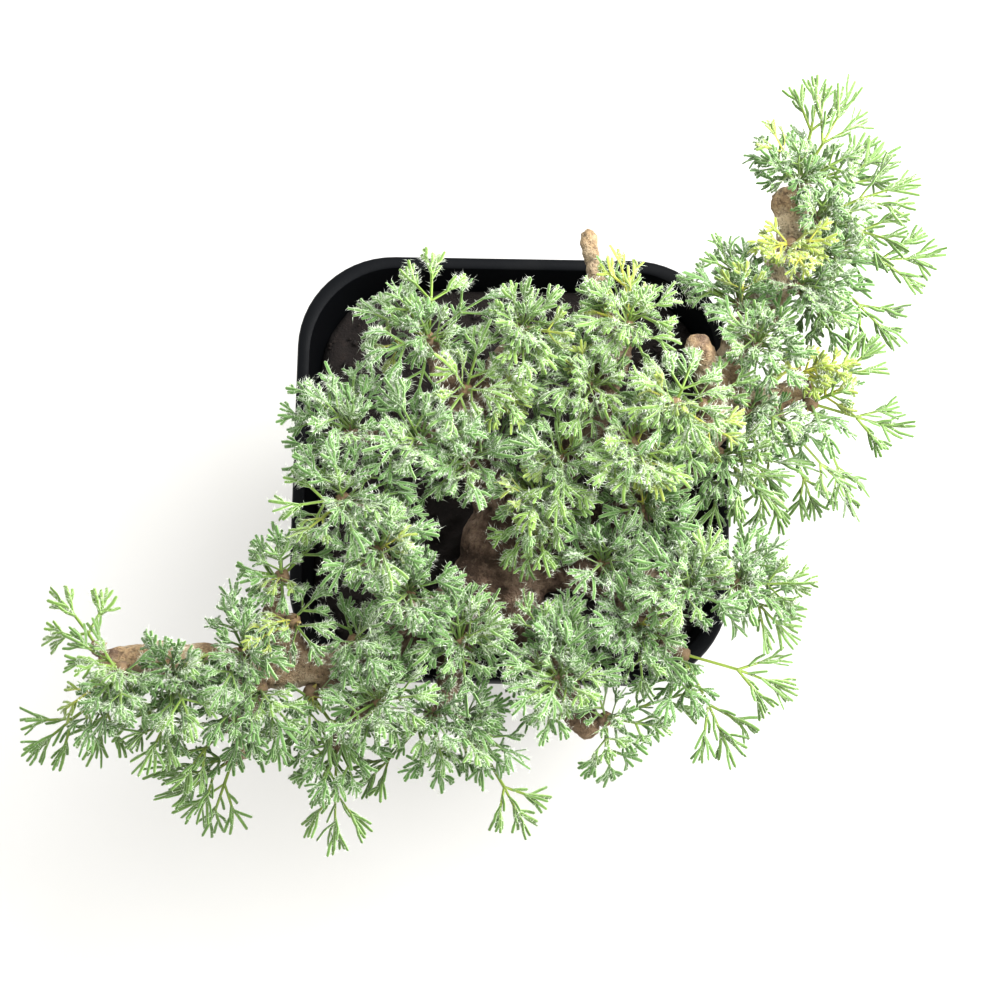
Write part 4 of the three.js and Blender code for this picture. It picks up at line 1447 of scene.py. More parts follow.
@dataclass
class Room:
    """What is taken up round a growing leaf: pot, soil, wood and the leaves so far.

    Attributes:
        pot: The pot.
        soil: Its soil.
        leaf_gap: Millimetres between the ribs of leaves on two shoots.
        sister_gap: Between the blades of leaves on one shoot.
        stem_gap: Between leaf and bark.
        rim_gap: Between leaf and pot.
        soil_gap: Between leaf and soil.
        lowest: How low a leaf may hang.
        inner_taper: How far the pot's inside narrows for each millimetre down.
        look_near: How far from a leaf others are tested.
        shade_gap: How close above a point another one shades it.
    """

    pot: NurseryPot
    soil: PottingSoil
    leaf_gap: float = 1.8
    sister_gap: float = 1.3
    stem_gap: float = 1.0
    rim_gap: float = 1.6
    soil_gap: float = 2.6
    lowest: float = 8.0
    inner_taper: float = 0.17
    look_near: float = 3.5
    shade_gap: float = 1.5

    def __post_init__(self) -> None:
        """Measures the wood; nothing else is taken yet."""
        starts, ends = [], []
        for points in BRANCHES.values():
            stations = stations_along(points, frame_rings(points))
            starts += stations[:-1]
            ends += stations[1:]
        self.starts = np.array(starts)
        self.ends = np.array(ends)
        self.points = np.zeros((0, 3))
        self.shoots = np.zeros(0, int)
        self.on_blade = np.zeros(0, bool)
        self.bulks = np.zeros(0)

    def take(self, points: np.ndarray, shoot: int, on_blade: np.ndarray, bulk: float) -> None:
        """Marks points as taken.

        Args:
            points: The points.
            shoot: The number of the shoot they belong to.
            on_blade: Whether each is on a blade.
            bulk: How thick the thing there is.
        """
        self.points = np.vstack([self.points, points])
        self.shoots = np.append(self.shoots, np.full(len(points), shoot))
        self.on_blade = np.append(self.on_blade, on_blade)
        self.bulks = np.append(self.bulks, np.full(len(points), bulk))

    def clear_of_pot(self, points: np.ndarray) -> bool:
        """Tells whether points keep off the pot and its soil.

        Args:
            points: The points.

        Returns:
            Whether all of them do.
        """
        radius = self.pot.corner_share * self.pot.width
        inset = self.pot.width / 2 - radius
        x = np.abs(points[:, 0]) - inset
        y = np.abs(points[:, 1]) - inset
        beyond = np.hypot(np.maximum(x, 0), np.maximum(y, 0)) + np.minimum(np.maximum(x, y), 0) - radius
        z = points[:, 2]
        taper = (self.pot.height - z) * self.inner_taper
        inner = -(self.pot.rim_reach + self.pot.wall + self.rim_gap + taper)
        within = (beyond < inner) & (z > self.soil.level + self.soil_gap)
        free = (z > self.pot.height + self.rim_gap) | (beyond > self.rim_gap) | within
        return bool(np.all(free & (z >= self.lowest)))

    def clear_of_stems(self, points: np.ndarray) -> bool:
        """Tells whether points keep off the wood.

        Args:
            points: The points.

        Returns:
            Whether all of them do.
        """
        run = self.ends[:, :3] - self.starts[:, :3]
        offset = points[:, None, :] - self.starts[None, :, :3]
        t = np.clip((offset * run).sum(2) / (run * run).sum(1), 0, 1)
        away = np.linalg.norm(offset - t[..., None] * run, axis=2)
        radius = self.starts[:, 3] + t * (self.ends[:, 3] - self.starts[:, 3])
        return bool(np.all(away > radius * (1 + KNOB_SHARE) + self.stem_gap))

    def exposure(self, points: np.ndarray) -> float:
        """Tells how open to the sky a leaf is.

        Args:
            points: The leaf's points.

        Returns:
            The share of them with no other leaf close above.
        """
        low = points.min(0) - self.shade_gap
        high = points.max(0) + self.shade_gap
        above = self.points[np.all((self.points[:, :2] > low[:2]) & (self.points[:, :2] < high[:2]), axis=1)]
        offset = above[None, :, :] - points[:, None, :]
        beside = np.hypot(offset[..., 0], offset[..., 1]) < self.shade_gap
        over = beside & (offset[..., 2] > self.shade_gap)
        return 1 - float(over.any(axis=1).mean())

    def free(self, points: np.ndarray, on_blade: np.ndarray, shoot: int, share: float = 1.0) -> bool:
        """Tells whether a leaf has room.

        Args:
            points: The leaf's points.
            on_blade: Whether each is on the blade.
            shoot: The number of its shoot.
            share: How much of the usual room between leaves it needs.

        Returns:
            Whether it stands clear.
        """
        if not self.clear_of_pot(points):
            return False
        past_foot = on_blade | (np.arange(len(points)) > 1)
        if past_foot.any() and not self.clear_of_stems(points[past_foot]):
            return False
        low = points.min(0) - self.look_near
        high = points.max(0) + self.look_near
        near = np.all((self.points > low) & (self.points < high), axis=1)
        others = self.points[near]
        if not len(others):
            return True
        sister = self.shoots[near] == shoot
        room = (np.where(sister, self.sister_gap, self.leaf_gap) * share + self.bulks[near])[None, :]
        gap = np.linalg.norm(points[:, None, :] - others[None, :, :], axis=2)
        ignored = sister[None, :] & ~(on_blade[:, None] & self.on_blade[near][None, :])
        return bool(np.all((gap > room) | ignored))


def swing(first: np.ndarray, second: np.ndarray, angle: float) -> tuple[np.ndarray, np.ndarray]:
    """Turns two ways that stand at a right angle, the first one towards the second."""
    cos, sin = math.cos(angle), math.sin(angle)
    return first * cos + second * sin, second * cos - first * sin


class LeafPart(Enum):
    """The stretches that a leaf is made of, with the shares of length and width of their rings."""

    PETIOLE = ((0.0, 0.25, 0.5, 0.75, 1.0), (1.25, 0.95, 0.85, 0.9, 1.0))
    RIB = ((0.0, 1.0), (1.0, 1.0))
    LOBE = ((0.0, 0.34, 0.66, 0.95), (0.9, 0.95, 1.0, 0.88))
    FINGER = ((0.0, 0.5, 0.93), (0.85, 1.0, 0.88))
    SCALE = ((0.0, 0.5, 0.9), (0.9, 1.0, 0.5))

    def pointed(self) -> bool:
        """Tells whether it ends in a point."""
        return self in (LeafPart.LOBE, LeafPart.FINGER, LeafPart.SCALE)


@dataclass
class Limb:
    """A tapering strap that starts at a point and may curl.

    Attributes:
        part: Which stretch of the leaf it is.
        start: Its start, in the flat leaf's own space.
        axes: Rows along it, across it and above it.
        length: Its length in millimetres.
        half_width: Half its width.
        curl: Radians that it turns by over its length.
        depth: How far from the petiole it grew, from 0 to 1.
        slant: Radians from turning up to turning aside.
    """

    part: LeafPart
    start: np.ndarray
    axes: np.ndarray
    length: float
    half_width: float
    curl: float
    depth: float
    slant: float = 0.0

    def at(self, shares: np.ndarray) -> tuple[np.ndarray, np.ndarray, np.ndarray, np.ndarray]:
        """Finds places along its middle.

        Args:
            shares: How far along, from 0 to 1, for each place.

        Returns:
            The points, and the ways along it, across it and above it there.
        """
        straightest = 1e-4
        curl = self.curl if abs(self.curl) > straightest else straightest
        turn = curl * shares
        along, across, above = self.axes
        bend = above * math.cos(self.slant) + across * math.sin(self.slant)
        still = across * math.cos(self.slant) - above * math.sin(self.slant)
        cos, sin = np.cos(turn)[:, None], np.sin(turn)[:, None]
        radius = self.length / curl
        points = self.start + along * sin * radius + bend * (1 - cos) * radius
        turned = bend * cos - along * sin
        return (
            points,
            along * cos + bend * sin,
            turned * math.sin(self.slant) + still * math.cos(self.slant),
            turned * math.cos(self.slant) - still * math.sin(self.slant),
        )

    def fork(
        self, yaw: float, pitch: float, roll: float, share: float = 1.0
    ) -> tuple[np.ndarray, np.ndarray]:
        """Gives the start and the axes of a limb that grows from it.

        Args:
            yaw: Degrees to the left.
            pitch: Degrees up.
            roll: Degrees about its own way.
            share: How far along this limb it grows.

        Returns:
            The start and the axes.
        """
        point, along, across, above = (a[0] for a in self.at(np.array([share])))
        y, p, r = (math.radians(a) for a in (yaw, pitch, roll))
        along, across = swing(along, across, y)
        along, above = swing(along, above, p)
        across, above = swing(across, above, r)
        return point, np.array([along, across, above])


# A strap's section, as shares of its half width across and above, with how near each point is to the margin.
SECTION = np.array([(1.0, 0.3), (0.0, 0.1), (-1.0, 0.3), (0.0, -0.55)])
SECTION_MARGIN = np.array([1.0, 0.0, 1.0, 0.55])

# Hairs for each millimetre of a stretch in full light.
HAIRS_PER_MM: dict[LeafPart, float] = {LeafPart.RIB: 1.8, LeafPart.LOBE: 5.2, LeafPart.FINGER: 6.8}

# The leaves' own numbers, by which they are drawn: how many a shoot has, and where added leaves' start.
KEYS_PER_SHOOT = 16
FILLING_KEY = 5000
TRUNK_KEY = 20000

# Where the seeds of the random draws start for each pass of filling, each shoot and each leaf.
FILLING_SEED = 1000
SHOOT_SEED = 300
LEAF_SEED = 9000


def bend(up: float, aside: float) -> tuple[float, float]:
    """Joins degrees turned up and degrees turned to the left into a curl and its slant, in radians."""
    return math.radians(math.hypot(up, aside)), math.atan2(aside, up)


def spikes(
    feet: np.ndarray, ways: np.ndarray, lengths: np.ndarray, beside: np.ndarray, radius: float
) -> tuple[np.ndarray, np.ndarray]:
    """Makes thin, closed, three-sided spikes.

    Args:
        feet: The middle of each spike's foot.
        ways: Where each points, as unit vectors.
        lengths: How long each is, as a column.
        beside: A way that isn't along the spike, for each.
        radius: From the middle of a foot to its corners.

    Returns:
        The points, four a spike, and the triangles.
    """
    first = np.cross(ways, beside)
    first = first / np.maximum(np.linalg.norm(first, axis=1)[:, None], 1e-6)
    second = np.cross(ways, first)
    turns = (0, 2 * math.pi / 3, 4 * math.pi / 3)
    corners = [feet + radius * (first * math.cos(turn) + second * math.sin(turn)) for turn in turns]
    points = np.stack([*corners, feet + ways * lengths], 1).reshape(-1, 3)
    starts = np.arange(len(feet))[:, None, None] * 4
    faces = starts + np.array([(0, 1, 3), (1, 2, 3), (2, 0, 3), (0, 2, 1)])
    return points, faces.reshape(-1, 3)


@dataclass
class Cutting:
    """A leaf as it is cut into petiole, ribs, lobes and fingers, in the flat leaf's own space.

    A leaf in the shade is cut less finely, and its petiole starts a little inside the bud.
    """

    leaf: Leaf
    open_share: float
    rng: np.random.Generator
    petiole_half_width: float = 0.38
    petiole_tail: float = 0.8
    limbs: list[Limb] = field(default_factory=list)

    def __post_init__(self) -> None:
        """Cuts the whole leaf."""
        self.cut = LEAF_CUTS[self.leaf.form]
        self.width = self.cut.half_width * (1 - 0.2 * self.leaf.young)
        root = np.array([-self.petiole_tail, 0, 0])
        length = self.leaf.petiole + self.petiole_tail
        petiole = Limb(LeafPart.PETIOLE, root, np.eye(3), length, self.petiole_half_width, 0.0, 0.0)
        self.limbs.append(petiole)
        for side in (-1, 0, 1):
            self.grow_rib(petiole, side)

    def jolt(self, size: float) -> float:
        """Draws a number between minus a size and plus it."""
        return self.rng.uniform(-size, size)

    def grow_rib(self, petiole: Limb, side: int) -> None:
        """Grows a rib with its lobes and fingers.

        Args:
            petiole: What it grows from.
            side: 1 for the left rib, 0 for the middle one and -1 for the right one.
        """
        cut = self.cut
        reach = self.leaf.blade * (cut.side_reach if side else 1)
        start, axes = petiole.fork(side * cut.rib_turn + self.jolt(5), self.jolt(8), self.jolt(14))
        curl = math.radians(self.jolt(8))
        rib = Limb(LeafPart.RIB, start, axes, reach * FORK_SHARE, self.width * 0.8, curl, 0.4)
        self.limbs.append(rib)
        alone = cut.lobes[side + 1] == 1
        count = LONE_RIB_LOBES if alone else cut.lobes[side + 1]
        turn = LONE_RIB_TURN if alone else cut.lobe_turn
        length = reach * (LONE_RIB_SHARE - FORK_SHARE if alone else 1 - FORK_SHARE)
        for i in range(count):
            yaw = (i - (count - 1) / 2) * turn
            self.grow_lobe(rib, yaw, side * cut.rib_turn + yaw, length)
        places = FAN_RIB_FINGERS if self.leaf.form is FAN else RIB_FINGERS
        self.grow_fingers(rib, [(share, reach * RIB_FINGER_SHARE) for share in places])

    def grow_lobe(self, rib: Limb, yaw: float, heading: float, length: float) -> None:
        """Grows a lobe from the end of a rib, with its side fingers.

        Args:
            rib: What it grows from.
            yaw: Degrees to the left of the rib.
            heading: Degrees to the left of the whole leaf.
            length: The middle lobe's usual length, in millimetres.
        """
        length *= (SIDE_LOBE_SHARE if yaw else 1) * self.rng.uniform(0.94, 1.1)
        start, axes = rib.fork(yaw + self.jolt(5), self.jolt(14), self.jolt(20))
        up = 12 - self.cut.limpness * self.rng.uniform(0.0, 1.7)
        curl, slant = bend(up, -self.cut.comb * heading + self.jolt(20))
        lobe = Limb(LeafPart.LOBE, start, axes, length, self.width, curl, 0.85, slant)
        self.limbs.append(lobe)
        fingers = 1 + int(self.rng.random() < 0.15 + 0.75 * self.open_share)
        fingers += int(self.rng.random() < 0.6 * self.open_share)
        places = FAN_FINGERS if self.leaf.form is FAN else SIDE_FINGERS
        self.grow_fingers(lobe, [(share, length * part) for share, part in places[:fingers]])

    def grow_fingers(self, limb: Limb, places: list[tuple[float, float]]) -> None:
        """Grows side fingers from a rib or a lobe, to one side and the other in turn.

        Args:
            limb: What they grow from.
            places: For each, how far along the limb it grows and its usual length in millimetres.
        """
        hand = 1 if self.rng.random() < 0.5 else -1
        for share, length in places:
            opening = self.rng.uniform(*self.cut.opening)
            start, axes = limb.fork(hand * opening, self.jolt(20), self.jolt(24), share + self.jolt(0.05))
            up = -self.cut.limpness * self.rng.uniform(-0.4, 0.9)
            curl, slant = bend(up, -0.75 * hand * opening + self.jolt(16))
            size = max(SHORTEST_FINGER, length * self.rng.uniform(0.88, 1.15))
            width = self.width * self.rng.uniform(0.86, 1.0)
            self.limbs.append(Limb(LeafPart.FINGER, start, axes, size, width, curl, 1.0, slant))
            hand = -hand


class Skin(Enum):
    """The finishes of a shoot, by their number among its materials."""

    LEAF = 0
    HAIR = 1
    SCALE = 2


@dataclass
class Foliage:
    """All the leafy shoots: the frame's leaves, cut finer, and the smaller ones that fill between them.

    Lengths are in millimetres.
    """

    room: Room
    eye: tuple[float, float, float]
    attempts: int = 60
    filling_tries: int = 30
    edge: float = 2.5
    hair_radius: float = 0.048
    hairs: int = 0

    def __post_init__(self) -> None:
        """Seats the shoots."""
        self.low = np.array(CAD_BOX[0]) / MM
        self.high = np.array(CAD_BOX[1]) / MM
        self.shoots = [Shoot(plan, number) for number, plan in enumerate(SHOOTS)]
        for shoot in self.shoots:
            spine = np.array([shoot.foot + shoot.facing * BUD_LENGTH * share for share in (0, 0.4, 0.8)])
            self.room.take(spine, shoot.number, np.zeros(3, bool), 1.0)

    def stand(self, shoot: Shoot, leaf: Leaf, points: np.ndarray, on_blade: np.ndarray) -> None:
        """Keeps a leaf on its shoot and marks its room as taken."""
        shoot.leaves.append(leaf)
        self.room.take(points, shoot.number, on_blade, 0.0)

    def try_leaf(self, shoot: Shoot, spray: Spray, index: int, key: int, attempt: int) -> Leaf:
        """Draws one try at a leaf, just as the frame does.

        Args:
            shoot: Its shoot.
            spray: Its spray.
            index: Which leaf of the spray it is.
            key: The leaf's own number.
            attempt: Which try this is.

        Returns:
            The leaf.
        """
        pick = [draw(key, attempt * 8 + channel) - 0.5 for channel in range(7)]
        stray = 1 + attempt * 0.09
        several = spray.leaves > 1
        seat = index / (spray.leaves - 1) - 0.5 if several else 0
        tier = (12 if index % 2 else -8) if several else 0
        return Leaf(
            root=shoot.root(),
            form=spray.form,
            heading=spray.heading + seat * spray.spread + pick[0] * 16 * stray,
            rise=min(84, max(-35, spray.rise + tier + pick[1] * 14 * stray)),
            petiole=spray.petiole * (1 + 0.4 * pick[2]),
            blade=spray.blade * (1 + 0.2 * pick[3]) * (1 - 0.007 * attempt),
            droop=spray.droop * (1 + 0.6 * pick[4]),
            roll=pick[5] * 50,
            cup=0.012 * (1 + pick[6]),
            key=key,
            fading=0.6 if shoot.is_yellow() else 0.0,
        )

    def grow_leaf(self, shoot: Shoot, spray: Spray, index: int, key: int) -> None:
        """Grows one of the frame's leaves: the first try that finds room.

        Args:
            shoot: Its shoot.
            spray: Its spray.
            index: Which leaf of the spray it is.
            key: The leaf's own number.
        """
        for attempt in range(self.attempts):
            leaf = self.try_leaf(shoot, spray, index, key, attempt)
            points, on_blade = leaf.samples()
            if self.room.free(points, on_blade, shoot.number):
                self.stand(shoot, leaf, points, on_blade)
                return

    def grow_frame_leaves(self) -> int:
        """Grows the leaves that the frame has, by the frame's own rule.

        Returns:
            How many stand.
        """
        for shoot in self.shoots:
            places = [(spray, index) for spray in shoot.plan.sprays for index in range(spray.leaves)]
            for order, (spray, index) in enumerate(places):
                self.grow_leaf(shoot, spray, index, shoot.number * KEYS_PER_SHOOT + order)
        return sum(len(shoot.leaves) for shoot in self.shoots)

    def over_bare_patch(self, points: np.ndarray) -> bool:
        """Tells whether points hide a patch that the camera sees bare.

        Args:
            points: The points.

        Returns:
            Whether any of them does.
        """
        eye = np.array(self.eye)
        share = ((eye[2] - self.room.pot.height) / (eye[2] - points[:, 2]))[:, None]
        seen = eye + (points - eye) * share
        for x, y, width, depth in BARE_PATCHES:
            if np.any((np.abs(seen[:, 0] - x) < width / 2) & (np.abs(seen[:, 1] - y) < depth / 2)):
                return True
        return False

    def hang_over_trunk(self) -> None:
        """Hangs a few leaves over the bare trunk, where the camera sees them."""
        shoot = next(shoot for shoot in self.shoots if shoot.plan.name == TRUNK_SHOOT)
        for number, (heading, rise, petiole, blade, droop) in enumerate(TRUNK_LEAVES):
            leaf = Leaf(
                shoot.root(), FULL, heading, rise, petiole, blade, droop,
                roll=0.0, cup=0.01, key=TRUNK_KEY + number, young=0.3,
            )
            points, on_blade = leaf.samples()
            if self.room.clear_of_stems(points[3:]):
                self.stand(shoot, leaf, points, on_blade)

    def fill(self) -> int:
        """Grows smaller leaves between the frame's, wherever they have room.

        Returns:
            How many of them stand, without the ones over the trunk.
        """
        self.hang_over_trunk()
        passes = [(number, shoot) for number in range(len(FILLINGS)) for shoot in self.shoots]
        return sum(self.fill_shoot(shoot, number) for number, shoot in passes)

    def filling_leaf(self, shoot: Shoot, filling: Filling, key: int, rng: np.random.Generator) -> Leaf:
        """Draws a small leaf somewhere round a shoot.

        Args:
            shoot: The shoot.
            filling: What such leaves are like.
            key: The leaf's own number.
            rng: The pass's seeded generator.

        Returns:
            The leaf.
        """
        first = shoot.plan.sprays[0]
        yellow = shoot.is_yellow()
        fading_share = 0.18 if shoot.in_crown() else 0.04
        return Leaf(
            root=shoot.root(),
            form=(FULL, BROAD, OPEN)[rng.integers(3)],
            heading=first.heading + rng.uniform(-1, 1) * (110 if yellow else 180),
            rise=max(rng.uniform(*filling.rise), first.rise - 60),
            petiole=rng.uniform(*filling.petiole),
            blade=rng.uniform(*filling.blade) * (0.7 if yellow else 1.0),
            droop=rng.uniform(*filling.droop),
            roll=rng.uniform(-35, 35),
            cup=rng.uniform(0.006, 0.02),
            key=key,
            young=rng.uniform(0.3, 1.0),
            fading=(
                rng.uniform(0.2, 0.9) if yellow
                else rng.uniform(0.4, 0.9) * (rng.random() < fading_share)
            ),
        )

    def fill_shoot(self, shoot: Shoot, number: int) -> int:
        """Adds one pass's leaves to a shoot.

        Args:
            shoot: The shoot.
            number: The pass's number.

        Returns:
            How many leaves found room.
        """
        filling = FILLINGS[number]
        low = self.low + self.edge
        high = self.high - self.edge
        rng = np.random.default_rng(FILLING_SEED * (number + 1) + shoot.number)
        first_key = FILLING_KEY * (number + 1) + shoot.number * KEYS_PER_SHOOT
        wanted = round(filling.leaves * FILLED_SHARE.get(shoot.plan.name, 1.0))
        added = 0
        for _ in range(wanted * self.filling_tries):
            if added == wanted:
                break
            leaf = self.filling_leaf(shoot, filling, first_key + added, rng)
            points, on_blade = leaf.samples()
            if np.any(points < low) or np.any(points > high) or self.over_bare_patch(points):
                continue
            if self.room.free(points, on_blade, shoot.number, filling.room):
                self.stand(shoot, leaf, points, on_blade)
                added += 1
        return added

    def strap_leaf(self, draft: MeshDraft, leaf: Leaf, limbs: list[Limb], skin: Skin, chance: float) -> None:
        """Adds the skin of a leaf's limbs.

        Args:
            draft: Where it goes.
            leaf: The leaf, which bends them.
            limbs: The limbs.
            skin: Their finish.
            chance: A number from 0 to 1 that the finish mixes colours by: for a leaf, a random tone with
                painted light and shade from how open it stands; for a bud's scale, random.
        """
        for limb in limbs:
            shares, widths = (np.array(row) for row in limb.part.value)
            points, _, across, above = limb.at(shares)
            size = (limb.half_width * widths)[:, None, None]
            thick = 1.25 if limb.part is LeafPart.PETIOLE else 1.0
            rings = (
                points[:, None, :]
                + size * SECTION[None, :, :1] * across[:, None, :]
                + size * thick * SECTION[None, :, 1:] * above[:, None, :]
            )
            flat = rings.reshape(-1, 3)
            margin = np.tile(SECTION_MARGIN, len(shares))
            along = np.repeat(limb.depth + 0.15 * (shares - 1), len(SECTION))
            if limb.part is LeafPart.PETIOLE:
                along = np.repeat(0.35 * shares, len(SECTION))
            if limb.part.pointed():
                flat = np.vstack([flat, limb.at(np.array([1.0]))[0]])
                margin = np.append(margin, 0.9)
                along = np.append(along, limb.depth)
            fading = max(leaf.fading, 0.16 if leaf.form is FAN else 0.0)
            age = np.clip(fading * (1.3 - 1.1 * along), 0, 1)
            tones = np.stack([margin, along, np.full(len(flat), chance), age], 1)
            placed = np.clip(leaf.place(flat), self.low, self.high)
            draft.add(placed, tube_faces(len(shares), len(SECTION), limb.part.pointed()), tones, skin.value)

    def hair_leaf(
        self, draft: MeshDraft, leaf: Leaf, limbs: list[Limb], rng: np.random.Generator, share: float
    ) -> None:
        """Adds the hairs that stand off a leaf's ribs and fingers, most of them along the margins.

        Args:
            draft: Where they go.
            leaf: The leaf, which bends them.
            limbs: Its limbs.
            rng: Its seeded generator.
            share: How many of the usual hairs it gets.
        """
        outer = leaf.form is FAN
        for limb in limbs:
            if limb.part is LeafPart.PETIOLE:
                continue
            density = HAIRS_PER_MM[limb.part] * (0.6 if outer else 1.0) * share
            count = rng.poisson(limb.length * density)
            if not count:
                continue
            middle, along, across, above = limb.at(rng.uniform(0.02, 1.0, count))
            on_margin = rng.random(count) < 0.62
            turn = np.where(on_margin, rng.choice([0.0, math.pi], count), rng.uniform(0, 2 * math.pi, count))
            turn = turn + rng.normal(0, 0.35, count)
            cos, sin = np.cos(turn)[:, None], np.sin(turn)[:, None]
            out = across * cos + above * sin
            feet = middle + limb.half_width * 0.9 * (across * cos + above * sin * 0.35)
            ways = out + along * rng.uniform(-0.1, 0.9, count)[:, None] + rng.normal(0, 0.25, (count, 3))
            ways = ways / np.linalg.norm(ways, axis=1)[:, None]
            lengths = rng.normal(0.65 if outer else 1.3, 0.25, count).clip(0.35, 2.0)[:, None]
            points, faces = spikes(feet, ways, lengths, along, self.hair_radius)
            draft.add(np.clip(leaf.place(points), self.low, self.high), faces, None, Skin.HAIR.value)
            self.hairs += count

    def bud(self, draft: MeshDraft, shoot: Shoot, rng: np.random.Generator) -> None:
        """Adds a shoot's bud: a knobbly foot and the dry scales of fallen leaves round it.

        Args:
            draft: Where it goes.
            shoot: The shoot.
            rng: Its seeded generator.
        """
        ball, faces = lump(2)
        stretch = np.array([BUD_RADIUS * 0.95, BUD_RADIUS * 0.95, BUD_LENGTH * 0.62])
        axes = np.array([*shoot.across(), shoot.facing])
        rough = ball * rng.uniform(0.86, 1.12, (len(ball), 1))
        body = (rough * stretch) @ axes + shoot.foot + shoot.facing * BUD_LENGTH * 0.3
        rise = np.clip(ball[:, 2] * 0.5 + 0.5, 0, 1)
        tones = np.stack([rise, rise * 0.5, np.full(len(ball), 0.2), rise * 0], 1)
        draft.add(body, faces, tones, Skin.SCALE.value)
        heading = math.degrees(math.atan2(shoot.facing[1], shoot.facing[0]))
        for k in range(6 if rng.random() < 0.4 else 2):
            scale = Leaf(
                root=shoot.foot + shoot.facing * BUD_LENGTH * rng.uniform(0.1, 0.6),
                form=FULL,
                heading=heading + k * 137.5,
                rise=rng.uniform(5, 75),
                petiole=1.0,
                blade=3.0,
                droop=rng.uniform(-60, 60),
                roll=rng.uniform(-60, 60),
                cup=0.0,
                key=0,
            )
            length = rng.uniform(1.6, 3.2)
            half_width = rng.uniform(0.3, 0.6)
            curl = math.radians(rng.uniform(-50, 50))
            strap = Limb(LeafPart.SCALE, np.zeros(3), np.eye(3), length, half_width, curl, 1.0)
            self.strap_leaf(draft, scale, [strap], Skin.SCALE, float(rng.random()))

    def grow_shoot(self, shoot: Shoot) -> MeshDraft:
        """Gathers a shoot's bud, leaves and hairs.

        Args:
            shoot: The shoot.

        Returns:
            The shoot's draft.
        """
        draft = MeshDraft()
        self.bud(draft, shoot, np.random.default_rng(SHOOT_SEED + shoot.number))
        for leaf in shoot.leaves:
            rng = np.random.default_rng(LEAF_SEED + leaf.key)
            open_share = self.room.exposure(leaf.samples()[0])
            limbs = Cutting(leaf, open_share, rng).limbs
            # The leaf's third tone: drawn at random and held lower for the outer fans, then painted light and
            # shade: lowered for a leaf that others cover, raised in the sunlit crown and lowered outside it.
            chance = float(rng.random()) * (0.5 if leaf.form is FAN else 1.0) * (0.45 + 0.55 * open_share)
            chance = min(max(chance + (0.3 if shoot.in_crown() else -0.1), 0.0), 1.0)
            self.strap_leaf(draft, leaf, limbs, Skin.LEAF, chance)
            hair_share = (0.1 + 0.9 * open_share) * (0.5 if leaf.fading > 0.2 else 1.0)
            self.hair_leaf(draft, leaf, limbs, rng, hair_share)
        return draft

    def build(self, green: list[Material], yellow: list[Material]) -> list[bpy.types.Object]:
        """Makes every shoot.

        Args:
            green: The living shoots' finishes, in the order of Skin.
            yellow: The yellowed shoots' ones.

        Returns:
            One piece a shoot.
        """
        pieces = []
        for shoot in self.shoots:
            draft = self.grow_shoot(shoot)
            piece = draft.build(f"shoot_{shoot.plan.name}", yellow if shoot.is_yellow() else green)
            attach(piece, "root")
            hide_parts(shoot.node())
            "yellow_leaf" if shoot.is_yellow() else "leaf"
            log.info("%s: %d leaves, %d triangles", piece.name, len(shoot.leaves), draft.triangles())
            pieces.append(piece)
        return pieces


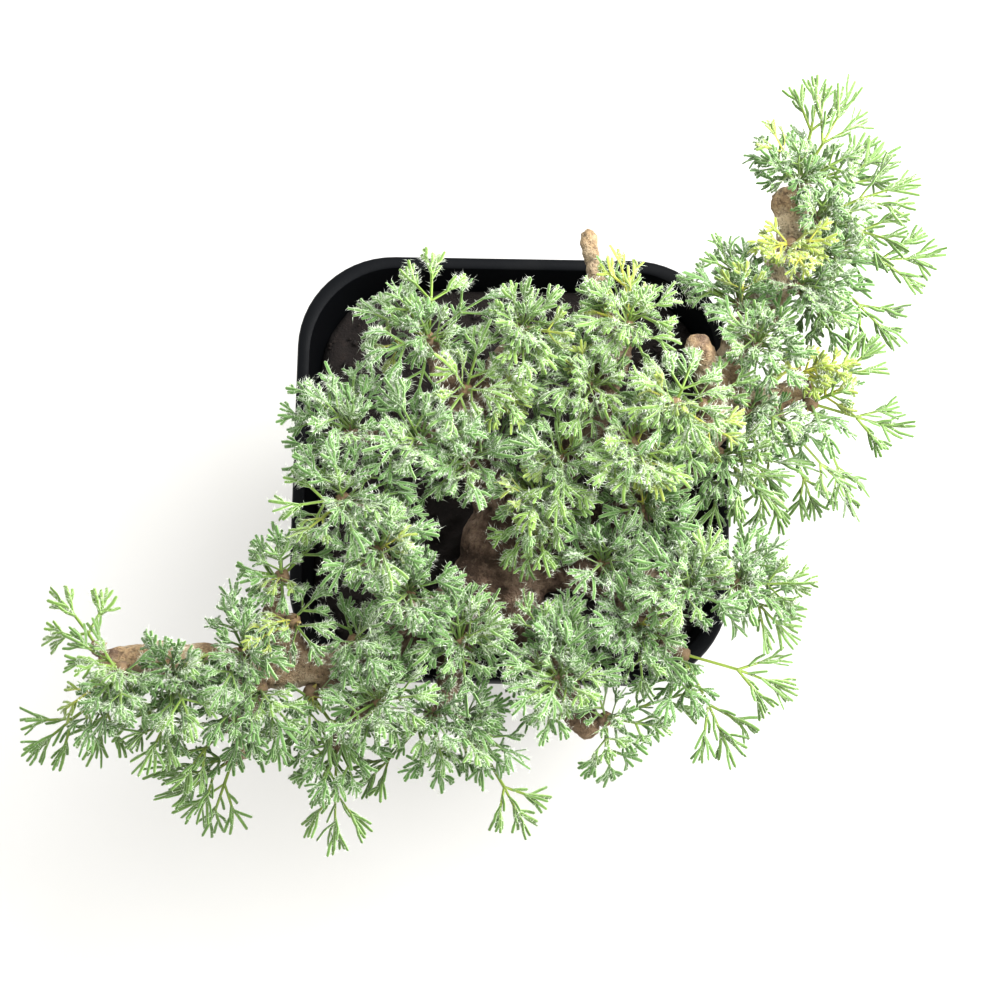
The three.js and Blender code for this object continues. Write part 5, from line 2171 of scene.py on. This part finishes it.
@dataclass
class Studio:
    """The pale floor, the soft light and the camera nearly overhead.

    Places are in millimetres, and the round window's are in metres.
    """

    eye: tuple[float, float, float] = (0.0, -145.154, 667.177)
    aim: tuple[float, float, float] = (-2.4, -8.2, 85.0)
    lens: float = 94.2
    sensor: float = 36.0
    floor_half: float = 3000.0
    floor_drop: float = 0.05
    sky: float = 1.07
    window_place: tuple[float, float, float] = (0.28, 0.13, 0.44)
    window_aim: tuple[float, float, float] = (0.0, 0.0, 0.09)
    window_width: float = 0.5
    window_power: float = 4.9
    exposure: float = 0.47
    gamma: float = 0.8

    def set_up(self, thing: bpy.types.Object, place: Vector, back: Vector) -> None:
        """Puts a camera or a lamp in the scene and turns it.

        Args:
            thing: The camera or the lamp.
            place: Where it stands, in metres.
            back: The way from what it faces back to itself.
        """
        thing.location = place
        thing.rotation_euler = back.to_track_quat("Z", "Y").to_euler()
        bpy.context.scene.collection.objects.link(thing)

    def camera(self) -> None:
        """Sets the camera nearly overhead, a little to the front."""
        data = bpy.data.cameras.new("camera")
        data.lens = self.lens
        data.sensor_width = self.sensor
        data.clip_start = 0.01
        data.clip_end = 20.0
        camera = bpy.data.objects.new("camera", data)
        self.set_up(camera, Vector(self.eye) * MM, Vector(self.eye) - Vector(self.aim))
        bpy.context.scene.camera = camera

    def floor(self, finish: Material) -> None:
        """Lays the floor just under the pot.

        Args:
            finish: The floor's material.
        """
        corners = ((-1, -1), (1, -1), (1, 1), (-1, 1))
        points = [(x * self.floor_half, y * self.floor_half, -self.floor_drop) for x, y in corners]
        draft = MeshDraft()
        draft.add(np.array(points), np.array([(0, 1, 2), (0, 2, 3)]))
        draft.build("floor", [finish])

    def light(self) -> None:
        """Surrounds the plant with white light, a little stronger from the upper right."""
        world = bpy.data.worlds.new("white_room")
        world.use_nodes = True
        background = world.node_tree.nodes["Background"]
        background.inputs["Color"].default_value = (1.0, 1.0, 1.0, 1)
        background.inputs["Strength"].default_value = self.sky
        bpy.context.scene.world = world
        window = bpy.data.lights.new("window", "AREA")
        window.shape = "DISK"
        window.size = self.window_width
        window.energy = self.window_power
        place = Vector(self.window_place)
        self.set_up(bpy.data.objects.new("window", window), place, place - Vector(self.window_aim))
        look = bpy.context.scene.view_settings
        look.view_transform = "Standard"
        look.exposure = self.exposure
        look.gamma = self.gamma


def main() -> None:
    """Builds and dresses every piece, in order."""
    logging.basicConfig(level=logging.INFO, format="%(name)s: %(message)s")
    studio = Studio()
    studio.camera()
    studio.floor(FloorFinish().make())
    studio.light()

    pot = NurseryPot()
    soil = PottingSoil(pot)
    pieces = [pot.build(PlasticFinish().make())]
    pieces += soil.build(SoilFinish().make())
    pieces.append(WoodyStems().build(BarkFinish().make()))
    for piece in pieces:
        log.info("%s: %d faces", piece.name, len(piece.data.polygons))

    foliage = Foliage(Room(pot, soil), studio.eye)
    log.info("leaves of the frame: %d", foliage.grow_frame_leaves())
    log.info("filling leaves: %d", foliage.fill())
    shared = [HairFinish().make(), BudFinish().make()]
    shoots = foliage.build([LIVING_LEAF.make(), *shared], [YELLOWED_LEAF.make(), *shared])
    total = sum(len(shoot.data.polygons) for shoot in shoots)
    log.info("foliage: %d pieces, %d triangles, %d hairs", len(shoots), total, foliage.hairs)


if __name__ == "__main__":
    main()
